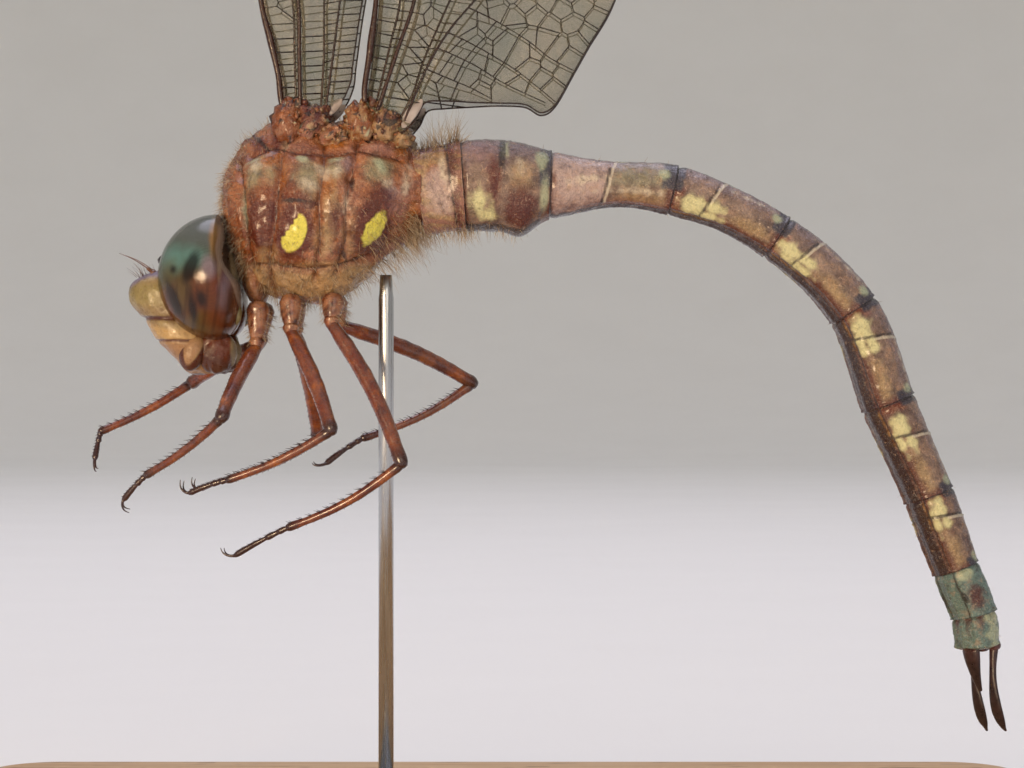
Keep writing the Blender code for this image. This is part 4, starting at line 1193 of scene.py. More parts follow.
def leg_shape(name, sizes):
    """One leg: hip, trochanter, thigh, shin with its rows of spines, and a foot of three
    segments that ends in two claws."""
    coxa, trochanter, knee, ankle, toe, claw = (np.array(place) for place in LEGS[name])
    thigh_bow, shin_bow = LEG_BOWS[name.split("_")[0]]
    share = np.linspace(0, 1, 9)[:, None]

    def bowed(start, end, bow=(0.0, 0.0)):
        """A line whose middle steps aside by the bow, as half a sine wave."""
        return start + (end - start) * share + np.array((bow[0], 0, bow[1])) * np.sin(
            math.pi * share)

    hip, thigh = bowed(coxa, trochanter), bowed(trochanter, knee, thigh_bow)
    shin, foot = bowed(knee, ankle, shin_bow), bowed(ankle, toe, (0.0, 0.06))
    hips = joined(leg_limb(hip, COXA_PROFILE, 24, seed=41),
                  leg_limb(hip, TROCHANTER_PROFILE, 22, seed=42))
    patches = lumps(hips.vertices, 0.5, seed=46)
    shapes = [leg_limb(thigh, THIGH_PROFILE, 24, seed=43),
              leg_limb(shin, SHIN_PROFILE, 18, seed=44),
              hips.with_values(dusty=0.2 + 0.4 * patches, dark=-0.24 - 0.25 * patches)]
    for start, end in zip(FOOT_JOINTS, FOOT_JOINTS[1:]):
        thin = 0.13 if start < 0.3 else 0.11
        profile = ((start, thin, 0.3), (start + 0.4 * (end - start), 0.15, 0.2),
                   (end - 0.05, 0.17, 0.2), (end, 0.12, 0.3))
        shapes.append(leg_limb(foot, profile, 14, seed=45))
    hook, ahead = claw - toe, unit(toe - ankle)
    sideways = unit(np.cross(ahead, unit(hook)))
    curve = toe + ahead * 0.32 * np.sin(share * 2.4) + hook * 0.95 * share**1.4
    for sign in (-1, 1):
        shapes.append(tube(curve + sideways * sign * (0.06 + 0.16 * share),
                           np.linspace(0.085, 0.018, 9), 8, dark=0.3))
    # Spines: their limb, first and last share along it, number of rows, turns round the limb,
    # length and radius. The two long rows on the shin grow shorter towards the foot.
    long_rows = 1.15 - 0.3 * np.linspace(0, 1, 12)[:, None]
    for line, profile, first, last, rows, around, length, radius in (
        (thigh, THIGH_PROFILE, 0.16, 0.93, 15, (2.6, 3.6), 0.42, 0.032),
        (thigh, THIGH_PROFILE, 0.19, 0.9, 13, (0.3, 1.4, 4.6), 0.2, 0.024),
        (shin, SHIN_PROFILE, 0.13, 0.95, 12, (2.3, 3.9), long_rows, 0.034),
        (shin, SHIN_PROFILE, 0.16, 0.93, 13, (0.2, 1.2, 5.2), 0.28, 0.022),
        (foot, ((0.0, 0.15, 0), (1.0, 0.15, 0)), 0.08, 0.9, 9, (2.5, 3.7), 0.36, 0.02),
    ):
        shapes.append(leg_spines(line, profile, np.linspace(first, last, rows), around,
                                 sizes.spine_length * length, radius))
    warm = {"foreleg_right": 0.5, "midleg_right": 0.3}.get(name, -0.15)
    return joined(*shapes).with_values(warm=warm)


# --- Appendages at the tail's end --------------------------------------------------------------

# Places along, to the left of and above the last segment's end, then half width and thickness.
CERCUS = ((0.25, 0.72, 0.46), (2.8, 0.59, 0.22), (4.65, 0.64, 0.75))
CERCUS_SECTION = ((0.24, 0.22), (0.2, 0.17), (0.22, 0.15), (0.29, 0.14), (0.35, 0.13),
                  (0.36, 0.12), (0.27, 0.10), (0.08, 0.05))
EPIPROCT = ((0.2, 0.0, -0.52), (1.3, 0.0, -0.42), (2.35, 0.0, -0.15))
EPIPROCT_SECTION = ((0.55, 0.26), (0.52, 0.24), (0.46, 0.2), (0.38, 0.17), (0.3, 0.14),
                    (0.22, 0.11), (0.14, 0.07))


def tail_point(reach, across, rise):
    """A place given in the last segment's own directions from its end."""
    where, along, left, back = (row[0] for row in tail_frame(np.array([10.0])))
    return where + along * reach + left * across + back * rise


def appendage_shape(knots, side, section):
    """A clasper: a flattened tube on the parabola through three places."""
    t = np.linspace(0, 1, 34)
    weights = np.stack([(1 - t) * (1 - 2 * t), 4 * t * (1 - t), t * (2 * t - 1)])
    reach, across, rise = np.array(knots).T @ weights
    path = np.array([tail_point(*row) for row in zip(reach, side * across, rise)])
    wide, thick = through(section, t * (len(section) - 1)).T
    _, _, left, _ = (row[0] for row in tail_frame(np.array([10.0])))
    head, radii_wide = domed(path, wide, 0.6)
    _, radii_thick = domed(path, thick, 0.6)
    rings = swept(head, together(radii_thick, radii_wide), 26, left)
    rings = rings + (0.02 * lumps(rings, 0.5, seed=51))[..., None] * (0.0, 0.0, 1.0)
    return lofted(rings, tip=np.pad(t, 2, mode="edge")[:, None])


def tail_plates():
    """Small maroon plates round the roots of the claspers."""
    places = [tail_point(*place) for place in (
        (0.05, 0.72, 0.45), (0.05, -0.72, 0.45), (0.02, 0.0, -0.45), (0.15, 0.0, 0.35),
        (0.02, 0.45, -0.1), (0.02, -0.45, -0.1))]
    halves = ((0.4, 0.36, 0.3), (0.4, 0.36, 0.3), (0.55, 0.6, 0.28), (0.4, 0.4, 0.25),
              (0.3, 0.3, 0.3), (0.3, 0.3, 0.3))
    return lofted(ellipsoids(places, halves, 0.0, 24, 16, uneven=0.06, seed=52), tip=-0.5)


# --- Wings -------------------------------------------------------------------------------------

# The root is x and z, the lean is in degrees, and the spread is the distance of the wing's
# plane from the model's middle plane at the root and at the tip. The rest are distances out
# from the root along the wing's own axis, and across it towards its rear edge.
# A vein has its knots, the half thickness at its two ends, and whether it stands on a ridge of
# the pleated wing (1) or lies in a furrow (-1).
FOREWING = {
    "root": (-10.3, 40.1),
    "lean": -2.0,
    "spread": (1.4, 0.4),
    "length": 43.0,
    "outline": (
        (-0.4, -0.9), (1.5, -1.2), (3.3, -1.55), (5.5, -2.0), (12.0, -2.8), (20.0, -3.2),
        (30.0, -3.4), (37.0, -2.9), (41.5, -1.5), (43.0, 0.4), (41.8, 2.2), (38.0, 3.9),
        (32.0, 5.3), (25.0, 6.1), (18.0, 5.9), (11.0, 4.7), (5.4, 3.35), (2.2, 2.75),
        (0.8, 2.5), (-0.3, 1.8), (-0.5, 0.5),
    ),
    "veins": (
        (((-0.3, -0.35), (2.5, -0.33), (5.5, -0.38), (10.0, -1.35), (15.0, -2.25),
          (20.5, -3.2)), 0.085, 0.05, -1),
        (((-0.3, -0.1), (2.5, -0.06), (5.5, -0.05), (10.0, -0.75), (15.0, -1.4),
          (20.5, -1.95), (30.0, -2.35), (37.0, -2.0), (41.4, -0.75)), 0.13, 0.055, 1),
        (((9.6, -0.62), (14.0, -1.0), (20.5, -1.3), (30.0, -1.4), (38.0, -0.6),
          (42.4, 1.3)), 0.07, 0.04, -1),
        (((17.0, -0.95), (25.0, -0.2), (32.0, 0.6), (38.0, 1.9), (41.2, 2.75)), 0.045, 0.035,
         1),
        (((10.2, -0.5), (14.0, -0.1), (20.0, 0.6), (28.0, 1.6), (35.0, 3.2), (38.4, 3.8)),
         0.06, 0.035, -1),
        (((5.8, 0.62), (8.5, 1.05), (12.0, 1.6), (20.0, 2.3), (28.0, 3.6), (33.6, 5.0)),
         0.065, 0.035, 1),
        (((-0.3, 0.95), (2.5, 1.2), (5.4, 1.33), (9.5, 1.8), (16.0, 3.0), (24.0, 4.6),
          (29.0, 5.75)), 0.085, 0.035, -1),
        (((-0.3, 1.25), (2.6, 1.75), (5.4, 2.2), (9.5, 3.0), (14.0, 4.0), (18.0, 5.2),
          (20.5, 6.05)), 0.075, 0.035, 1),
    ),
    "branches": (
        ((5.6, -0.1), (5.85, 0.3), (5.9, 0.65), (5.75, 1.3)),
        ((20.5, -3.2), (20.9, -2.6), (20.6, -1.95), (20.9, -1.3)),
        ((8.6, 1.05), (9.6, 1.3), (9.2, 1.8), (8.9, 2.9)),
        ((22.0, 0.8), (24.0, 2.0), (29.0, 3.0), (35.5, 4.5)),
        ((12.5, 3.6), (13.3, 4.4), (13.6, 5.2)),
        ((24.0, -0.3), (30.0, -0.5), (36.0, 0.4), (40.5, 2.4)),
    ),
    "stigma": (35.6, 38.9),
    "flap": ((-0.8, 1.28), (-0.38, 1.6), (0.03, 2.08)),
    "flap_width": 0.26,
    "walls": (),
}
HINDWING = {
    "root": (-6.05, 39.75),
    "lean": 11.0,
    "spread": (2.2, 1.25),
    "length": 42.0,
    "outline": (
        (0.1, -0.95), (2.7, -1.2), (5.3, -1.4), (11.0, -2.1), (17.0, -2.6), (27.0, -3.0),
        (34.5, -2.8), (40.0, -1.4), (42.0, 0.5), (41.0, 2.6), (37.0, 4.9), (30.0, 7.4),
        (22.0, 9.5), (14.0, 10.9), (11.0, 11.1), (7.7, 10.7), (5.4, 9.9), (3.9, 9.4),
        (2.0, 8.75), (1.4, 8.1), (1.65, 7.2), (1.5, 6.0), (1.2, 4.5), (0.9, 3.0),
        (0.6, 2.1), (-0.3, 1.8), (-1.1, 1.25), (-0.9, 0.8), (-0.5, 0.3),
    ),
    "veins": (
        (((-0.1, -0.4), (3.2, -0.27), (5.9, -0.24), (10.0, -1.1), (14.0, -1.95),
          (17.8, -2.62)), 0.085, 0.05, -1),
        (((-0.2, -0.22), (2.9, 0.18), (6.05, 0.55), (9.5, 0.1), (14.0, -0.8), (18.0, -1.4),
          (27.0, -1.85), (34.5, -1.85), (39.8, -0.75)), 0.13, 0.055, 1),
        (((9.2, 0.22), (14.0, -0.3), (18.0, -0.7), (27.0, -0.95), (34.0, -0.8),
          (39.0, 0.2), (41.7, 1.3)), 0.07, 0.04, -1),
        (((15.0, -0.3), (22.0, 0.2), (29.0, 1.0), (35.0, 2.2), (39.8, 3.3)), 0.045, 0.035,
         1),
        (((9.8, 0.3), (13.0, 0.75), (17.0, 1.25), (23.0, 2.2), (29.0, 3.6), (35.4, 5.45)),
         0.06, 0.035, -1),
        (((6.3, 1.3), (8.5, 1.7), (12.0, 2.2), (17.0, 3.0), (23.0, 4.4), (28.0, 6.0),
          (31.2, 7.0)), 0.065, 0.035, 1),
        (((-0.7, 0.9), (1.07, 1.4), (2.9, 1.62), (6.4, 2.4), (11.0, 3.5), (17.0, 5.3),
          (22.0, 7.5), (25.2, 8.7)), 0.085, 0.035, -1),
        (((-0.5, 1.25), (2.19, 1.8), (4.48, 2.6), (6.66, 3.75), (10.0, 5.4), (14.5, 7.9),
          (18.2, 10.2)), 0.085, 0.035, 1),
    ),
    "branches": (
        ((6.05, 0.5), (6.3, 0.9), (6.35, 1.3), (6.2, 2.35)),
        ((17.8, -2.62), (18.2, -2.1), (17.9, -1.4), (18.2, -0.7)),
        ((8.6, 1.75), (9.6, 2.1), (9.0, 3.0), (8.4, 4.5)),
        ((3.49, 2.2), (3.1, 4.2), (2.5, 6.0), (1.95, 8.2)),
        ((4.4, 2.6), (4.0, 4.4), (3.4, 6.2), (2.7, 7.6), (2.1, 8.7)),
        ((2.3, 1.85), (2.1, 3.0), (1.89, 4.3), (1.6, 5.4)),
        ((5.9, 3.4), (5.6, 4.9), (5.0, 6.6), (4.3, 8.0), (3.9, 9.3)),
        ((9.6, 5.2), (10.4, 7.0), (10.9, 9.0), (10.8, 11.0)),
        ((20.0, 2.1), (24.0, 3.6), (29.0, 5.2), (33.0, 6.25)),
        ((24.0, -0.1), (29.0, -0.2), (35.0, 0.7), (40.2, 2.4)),
    ),
    "stigma": (33.6, 37.0),
    "flap": ((-0.9, 1.2), (-0.05, 1.52), (0.74, 1.92)),
    "flap_width": 0.3,
    "walls": (3, 4, 5, 6, 7),
}
LINE_STEP = 0.2  # spacing of the points that stand for each vein


def dense(knots, closed=False):
    """Points every LINE_STEP on a smooth curve through knots, open or closed."""
    knots = np.asarray(knots, float)
    length = np.linalg.norm(np.diff(knots, axis=0), axis=1).sum()
    count = int(length / LINE_STEP) + 2
    if not closed:
        return smooth_line(knots, count)
    wrapped = np.concatenate([knots[-1:], knots, knots[:2]])
    return through(wrapped, np.linspace(1, len(knots) + 1, count, endpoint=False))


class Wing:
    """One wing's plan: its outline and veins as flat lines, and how it stands in space."""

    def __init__(self, plan, side):
        self.plan, self.side = plan, side
        self.outline = dense(plan["outline"], closed=True)
        tip = self.outline[:, 0].argmax()
        base = tip + self.outline[tip:, 0].argmin()
        front, rear = self.outline[: tip + 1], self.outline[tip : base + 1][::-1]
        veins = [dense(vein[0]) for vein in plan["veins"]]
        self.lines = [front, *veins, rear]
        self.signs = np.array([1.0] + [vein[3] for vein in plan["veins"]] + [0.0])

    def across(self, out):
        """Where each line lies across the wing at a distance out, and how fully it is there:
        not before its start nor past its end."""
        places, presence = [], []
        for line in self.lines:
            outs = np.maximum.accumulate(line[:, 0])
            places.append(np.interp(out, outs, line[:, 1]))
            fade = 0.01 if outs[0] < 1.5 else 1.5
            presence.append(eased(outs[0] - fade, outs[0], out) * (out <= outs[-1] + 0.1))
        presence[0] = presence[-1] = 1.0
        return together(*places), together(*presence)

    def height(self, out, across):
        """How far the pleated wing stands out of its plane: the mean of the ridges' and
        furrows' heights, weighed by closeness to each vein."""
        places, presence = self.across(out)
        closeness = presence / ((across[..., None] - places) ** 2 + 0.02) ** 1.5
        pleat = (closeness * self.signs).sum(-1) / closeness.sum(-1)
        depth = 0.05 + 0.26 * np.exp(-out / 16.0)
        return pleat * depth

    def place(self, flat, rise=0.0):
        """Flat places (out, across) put where the wing stands."""
        out, across = flat[..., 0], flat[..., 1]
        lean = math.radians(self.plan["lean"])
        (root_x, root_z), (near, far) = self.plan["root"], self.plan["spread"]
        apart = near + (far - near) * out / self.plan["length"]
        apart = apart * (1 - 0.66 * eased(2.0, 6.0, across))
        return together(
            root_x + out * math.sin(lean) + across * math.cos(lean),
            self.side * (apart + self.height(out, across) + rise),
            root_z + out * math.cos(lean) - across * math.sin(lean),
        )

    def inside(self, flat):
        """Whether flat places lie inside the outline: a ray from each crosses it oddly."""
        start, end = self.outline, np.roll(self.outline, -1, axis=0)
        x, y = flat[:, None, 0], flat[:, None, 1]
        spans = (start[:, 1] > y) != (end[:, 1] > y)
        slope = (end[:, 0] - start[:, 0]) / np.where(
            end[:, 1] == start[:, 1], 1e-9, end[:, 1] - start[:, 1])
        crossed = spans & (x < start[:, 0] + slope * (y - start[:, 1]))
        return crossed.sum(axis=1) % 2 == 1


def wing_cells(wing, cell, rng):
    """Cells between the veins: their middles, which strip each is in, and the rungs that
    cross strips one cell wide.

    Between each two neighbouring veins the middles stand in rows a cell apart, staggered and
    a little uneven. Where only one row fits, a rung crosses between each two middles.
    """
    middles, strips, rungs = [], [], []
    last = len(wing.lines) - 1
    for upper in range(last):
        out = wing.lines[upper][0, 0] + 0.3
        end = wing.lines[upper][-1, 0]
        while out < end:
            places, presence = wing.across(np.array([out]))
            below = [i for i in range(upper + 1, last + 1) if presence[0, i] > 0.99]
            lower = min(below, key=lambda i: places[0, i])
            top, width = places[0, upper], places[0, lower] - places[0, upper]
            rows = max(1, round(width / cell))
            step = float(np.clip(width * 0.42 + 0.25, 0.45, 0.85)) if rows == 1 else cell
            if width > 0.22:
                share = (np.arange(rows) + 0.5) / rows
                stagger = np.where(np.arange(rows) % 2, step / 2, 0.0)
                jitter = rng.uniform(-0.13, 0.13, (rows, 2)) * step * (rows > 1)
                flat = together(out + stagger, top + width * share) + jitter
                middles.append(flat)
                strips.append(np.full(rows, upper * 2 + (rows == 1)))
                if rows == 1:
                    crossing = out + step / 2
                    edges, _ = wing.across(np.array([crossing, crossing + 0.06 * width]))
                    rungs.append(((crossing, edges[0, upper]),
                                  (crossing + 0.06 * width, edges[1, lower])))
            out += step
    return np.concatenate(middles), np.concatenate(strips), np.array(rungs)


def triangle_sides(corners, count):
    """The three sides of each triangle, and a key for each that its twin next door shares."""
    sides = np.concatenate([corners[:, [0, 1]], corners[:, [1, 2]], corners[:, [2, 0]]])
    return sides, np.sort(sides, axis=1) @ (count, 1)


def wing_net(wing, cell, seed):
    """The net of thin veins: pairs of flat places.

    Cells grow from their middles until they meet, so their walls are the dual of a Delaunay
    triangulation. Walls between different strips are left out, because a main vein stands
    there, and a corner next to one is moved onto it.
    """
    rng = np.random.default_rng(seed)
    middles, strips, rungs = wing_cells(wing, cell, rng)
    keep = wing.inside(middles)
    middles, strips = middles[keep], strips[keep]
    branches = [dense(wing.plan["branches"][number]) for number in wing.plan["walls"]]
    beside = []
    for line in branches:
        nearest = np.linalg.norm(middles[:, None] - line, axis=-1).argmin(axis=1)
        ahead = line[np.minimum(nearest + 1, len(line) - 1)]
        behind = line[np.maximum(nearest - 1, 0)]
        way, offset = ahead - behind, middles - line[nearest]
        near = np.linalg.norm(offset, axis=1) < 1.3 * cell
        beside.append(near * np.sign(way[:, 0] * offset[:, 1] - way[:, 1] * offset[:, 0]))
    # A ring of places just outside the outline closes the cells along the edge.
    outline = wing.outline
    way = unit(np.roll(outline, -1, axis=0) - np.roll(outline, 1, axis=0))
    outward = together(way[:, 1], -way[:, 0]) * cell * 0.45
    ring = outline + outward
    if wing.inside(ring).mean() > 0.5:
        ring = outline - outward
    ring = ring[::4]
    points = np.concatenate([middles, ring])
    strips = np.concatenate([strips, np.full(len(ring), -1)])
    beside = np.reshape(beside, (len(branches), len(middles)))
    beside = np.pad(beside, ((0, 0), (0, len(ring))))
    _, _, faces, origins, _, _ = delaunay_2d_cdt(
        [Vector(point) for point in points], [], [], 0, 1e-6
    )
    source = np.array([origin[0] for origin in origins])
    corners = source[np.array(faces)]
    strip = strips[corners]
    a, b, c = (points[corners[:, i]] for i in range(3))
    doubled = 2 * (a[:, 0] * (b[:, 1] - c[:, 1]) + b[:, 0] * (c[:, 1] - a[:, 1])
                   + c[:, 0] * (a[:, 1] - b[:, 1]))
    squares = [(p**2).sum(-1) for p in (a, b, c)]
    centre = together(
        squares[0] * (b[:, 1] - c[:, 1]) + squares[1] * (c[:, 1] - a[:, 1])
        + squares[2] * (a[:, 1] - b[:, 1]),
        squares[0] * (c[:, 0] - b[:, 0]) + squares[1] * (a[:, 0] - c[:, 0])
        + squares[2] * (b[:, 0] - a[:, 0]),
    ) / np.where(np.abs(doubled) < 1e-9, 1e-9, doubled)[:, None]
    middle = (a + b + c) / 3
    far = np.linalg.norm(centre - middle, axis=1) > 0.8 * cell
    centre = np.where(far[:, None], middle, centre)
    walls = np.concatenate([wing.outline, *wing.lines, *branches])
    turned = beside[:, corners]
    border = (strip != strip[:, :1]).any(axis=1)
    border |= ((turned > 0).any(axis=2) & (turned < 0).any(axis=2)).any(axis=0)
    nearest = np.linalg.norm(centre[border][:, None] - walls, axis=-1).argmin(axis=1)
    centre[border] = walls[nearest]

    sides, key = triangle_sides(corners, len(points))
    owner = np.tile(np.arange(len(corners)), 3)
    order = np.argsort(key, kind="stable")
    twin = np.flatnonzero(key[order][:-1] == key[order][1:])
    first, second = order[twin], order[twin + 1]
    ends = sides[first]
    same = (strips[ends[:, 0]] == strips[ends[:, 1]]) & (strips[ends[:, 0]] >= 0)
    same &= (beside[:, ends[:, 0]] * beside[:, ends[:, 1]] >= 0).all(axis=0)
    ladder = strips[ends[:, 0]] % 2 == 1
    kept = same & ~ladder
    net = np.stack([centre[owner[first[kept]]], centre[owner[second[kept]]]], axis=1)
    net = np.concatenate([net, rungs[wing.inside(rungs.mean(axis=1))]])
    long_enough = np.linalg.norm(net[:, 0] - net[:, 1], axis=1) > 0.05
    return net[long_enough], middles


def wing_vein_shape(wing, sizes, seed):
    """Main veins as tapering tubes, branches as finer ones, and the net as four-sided bars."""
    net, middles = wing_net(wing, sizes.cell, seed)
    shapes = []

    def vein(flat, radii, sides, red):
        """A vein along a flat line, lifted onto the pleated wing."""
        shade = red - 0.06 * np.pad(flat[:, 0], 2, mode="edge")
        shapes.append(tube(wing.place(flat), radii, sides, red=shade[:, None]))

    for (_, start, end, _), line in zip(wing.plan["veins"], wing.lines[1:-1]):
        vein(line, np.linspace(0.85 * start, end, len(line)), 8, 0.3 if start > 0.12 else 0.1)
    for branch in map(dense, wing.plan["branches"]):
        vein(branch, np.linspace(0.036, 0.028, len(branch)), 6, -0.5)
    front, rear = wing.lines[0], wing.lines[-1]
    costa = 0.11 * np.exp(-front[:, 0] / 16) + 0.05 + 0.05 * bump(front[:, 0], 3.3, 1.1)
    vein(front, costa, 12, 0.35)
    vein(rear, np.linspace(0.045, 0.04, len(rear)), 6, 0.0)

    def bars(ends):
        """Three places along each bar."""
        return ends[:, :1] + (ends[:, 1:] - ends[:, :1]) * np.linspace(0, 1, 3)[None, :, None]

    thick = sizes.cross_vein * (1 + 0.7 * np.exp(-bars(net)[..., 0] / 7.0))
    shapes.append(lofted(swept(bars(wing.place(net)), thick, 4), red=-0.5))
    return joined(*shapes), middles, net


def wing_membrane_shape(wing, sizes, middles, net):
    """The clear skin between the veins: a triangulation of the outline, the veins' points, the
    net's corners and the cells' middles, given two faces and a closed rim. Each cell is
    slightly sunk at its middle."""
    inner = np.concatenate([line[2:-2] for line in wing.lines[1:-1]] + [net.reshape(-1, 2)])
    inner = np.unique(np.round(inner, 2), axis=0)
    clear = np.linalg.norm(inner[:, None] - wing.outline[None, ::2], axis=-1).min(axis=1) > 0.14
    inner = inner[clear & wing.inside(inner)]
    clear = np.linalg.norm(middles[:, None] - wing.outline[None, ::2], axis=-1).min(1) > 0.25
    middles = middles[clear]
    points = np.concatenate([wing.outline, inner, middles])
    border = [list(range(len(wing.outline)))]
    coords, _, faces, origins, _, _ = delaunay_2d_cdt(
        [Vector(point) for point in points], [], border, 1, 1e-6
    )
    flat = np.array([tuple(coord) for coord in coords])
    first_middle = len(wing.outline) + len(inner)
    sunk = np.array([bool(origin) and origin[0] >= first_middle for origin in origins])
    faces = np.array([face for face in faces if len(face) == 3])
    rise = np.where(sunk, -0.035, 0.0) + 0.012 * lumps(
        np.column_stack([flat, 0 * flat[:, 0]]), 0.9, seed=61)
    half = sizes.membrane / 2
    outer, inward = wing.place(flat, rise + half), wing.place(flat, rise - half)
    sides, key = triangle_sides(faces, len(flat))
    _, index, count = np.unique(key, return_inverse=True, return_counts=True)
    rim = sides[count[index] == 1]
    size = len(flat)
    quads = together(rim[:, 1], rim[:, 0], rim[:, 0] + size, rim[:, 1] + size)
    shell = np.concatenate([faces, faces[:, ::-1] + size])
    vertices = np.concatenate([outer, inward])
    normal_y = np.cross(vertices[shell[0, 1]] - vertices[shell[0, 0]],
                        vertices[shell[0, 2]] - vertices[shell[0, 0]])[1]
    if normal_y * wing.side < 0:
        shell, quads = shell[:, ::-1], quads[:, ::-1]
    return Shape(vertices, quads, shell)


def wing_pads(wing):
    """The thick coloured cell near the tip, and the white flap at the root's rear."""
    out = np.linspace(*wing.plan["stigma"], 26)
    places, _ = wing.across(out)
    upper, lower = places[:, 0], places[:, 2]
    rounding = np.clip(np.sin(np.linspace(0.12, math.pi - 0.12, len(out))) * 2.6, 0, 0.96)
    path = wing.place(together(out, (upper + lower) / 2))
    stigma = lofted(swept(path, together((lower - upper) / 2 * rounding, 0.06), 20))
    flat = smooth_line(wing.plan["flap"], 30)
    rounding = np.sin(np.linspace(0.06, math.pi - 0.06, len(flat))) ** 0.7
    wide = wing.plan["flap_width"] * rounding
    flap = lofted(swept(wing.place(flat), together(wide, 0.05), 16))
    return stigma, flap


# --- Hairs -------------------------------------------------------------------------------------


def thorax_coat(grid, normals):
    """How thickly hairs stand on the thorax and how long they are: a short nap along the
    front and beneath, long pale hairs low at the rear, few elsewhere."""
    x, z = grid[..., 0], grid[..., 2]
    beneath = eased(0.1, -0.6, normals[..., 2]) * eased(33.5, 31.5, z)
    front = eased(-12.7, -13.6, x)
    rear = eased(-7.6, -5.4, x) * eased(35.0, 33.6, z)
    top = eased(0.2, 0.8, normals[..., 2]) * eased(37.5, 38.2, z)
    chance = 0.03 + 0.6 * beneath + 0.5 * front + 0.45 * rear + 0.3 * top
    reach = 0.4 + 0.2 * beneath + 0.15 * front + 0.9 * rear + 0.2 * top
    return chance, reach


def tail_coat(grid, girth):
    """The same for the abdomen: a tuft on the back of the first segment, long hairs beneath
    the first two, a sparse short nap behind."""
    x = grid[..., 0]
    tuft = eased(-1.7, -2.4, x) * eased(0.35, 0.75, girth)
    first = eased(-1.0, -2.2, x)
    beneath = eased(2.0, 0.0, x) * eased(-0.4, -0.8, girth)
    chance = 0.012 + 0.9 * tuft + 0.16 * first + 0.5 * beneath
    return chance, 0.22 + 1.25 * tuft * eased(-4.4, -3.2, x) + 0.2 * first + 0.35 * beneath


def hip_surface(name):
    """Points and normals of one leg's hip, for its hairs."""
    coxa, trochanter = np.array(LEGS[name][:2])
    share = np.linspace(0, 0.9, 20)
    radii = np.interp(share, np.array(COXA_PROFILE)[:, 0], np.array(COXA_PROFILE)[:, 1])
    rings = swept(coxa + (trochanter - coxa) * share[:, None], radii, 24)
    return rings, grid_normals(rings)


def hair_shape(grids, chances, count, length, radius, seed):
    """Thin tapering hairs rooted on grids of skin points, more where the chance is higher.

    Each hair is a three-sided spike of three rings that leans down and to the rear. Its place
    on the baking map is a small patch at its root's place in the skin's own unwrapping.
    """
    rng = np.random.default_rng(seed)
    roots, outward, places = [], [], []
    for number, (points, normals) in enumerate(grids):
        rows, columns = np.meshgrid(*(np.arange(n) for n in points.shape[:2]), indexing="ij")
        u = (rows / points.shape[0] + number) / len(grids)
        v = columns / points.shape[1]
        roots.append(points.reshape(-1, 3))
        outward.append(normals.reshape(-1, 3))
        places.append(together(u, v).reshape(-1, 2))
    roots, outward, places = (np.concatenate(part) for part in (roots, outward, places))
    weight = np.concatenate([chance[0].ravel() for chance in chances])
    reach = np.concatenate([chance[1].ravel() for chance in chances])
    chosen = rng.choice(len(roots), size=count, p=weight / weight.sum())
    root, normal, spot = roots[chosen], outward[chosen], places[chosen]
    root = root + rng.normal(0, 0.05, root.shape) - normal * 0.04
    along = unit(normal + rng.normal(0, 0.28, normal.shape) + (0.12, 0.0, -0.1))
    size = (length * reach[chosen] * rng.uniform(0.45, 1.0, count))[:, None, None]
    bend = rng.normal(0, 0.22, normal.shape) + (0.1, 0.0, -0.28)
    bend[:, 2] += 0.3 * eased(0.2, 0.8, normal[:, 2])
    t = np.array([0.0, 0.5, 1.0])[None, :, None]
    path = root[:, None] + along[:, None] * size * t + bend[:, None] * size * t**2
    radii = radius * np.array([1.0, 0.7, 0.15]) * rng.uniform(0.7, 1.2, (count, 1))
    rings = swept(path, radii, 3, (0.36, 0.48, 0.8))
    shape = lofted(rings, tone=rng.uniform(0, 1, (count, 1, 1)))
    around = np.array([(0.0, 0.0), (1.0, 0.0), (0.5, 1.0)])
    patch = np.concatenate([around * 0.9, around * 0.6 + 0.1, around * 0.3 + 0.2,
                            [[0.45, 0.3]], [[0.35, 0.3]]])
    base = 0.004 + spot * 0.988
    unwrapped = (base[:, None] + patch[None] * 0.003).reshape(-1, 2)
    return shape, unwrapped


# --- Materials ---------------------------------------------------------------------------------


def layered(tree, base, noise, *rows):
    """Lays marks over a base one after another. A row has the mark's name and colour, how soft
    its edge is and how far noise moves it, in millimetres, and how fully it covers."""
    for name, mark, softness, wander, strength in rows:
        base = marked(tree, base, name, mark, softness, wander, noise, strength)
    return base


def veiled(tree, base, *rows):
    """Lays tints over a base by noise. A row has the noise, its values where the tint starts
    and where it is full, how fully it then covers, and the tint."""
    for noise, start, full, strength, tint in rows:
        base = mixed(tree, spread(tree, noise, start, full, 0.0, strength), base, tint)
    return base


def wired(material, base, rough=None, height=None, depth_mm=0.0, strength=1.0):
    """Links a material's colour, its roughness and the height of its bump to the shader."""
    tree = material.node_tree
    shader = tree.nodes["Principled BSDF"].inputs
    tree.links.new(base, shader["Base Color"])
    if rough is not None:
        tree.links.new(rough, shader["Roughness"])
    if height is not None:
        bumped = node(
            tree, "ShaderNodeBump",
            {"Height": height, "Distance": depth_mm * MM, "Strength": strength},
        ).outputs["Normal"]
        tree.links.new(bumped, shader["Normal"])
    return material


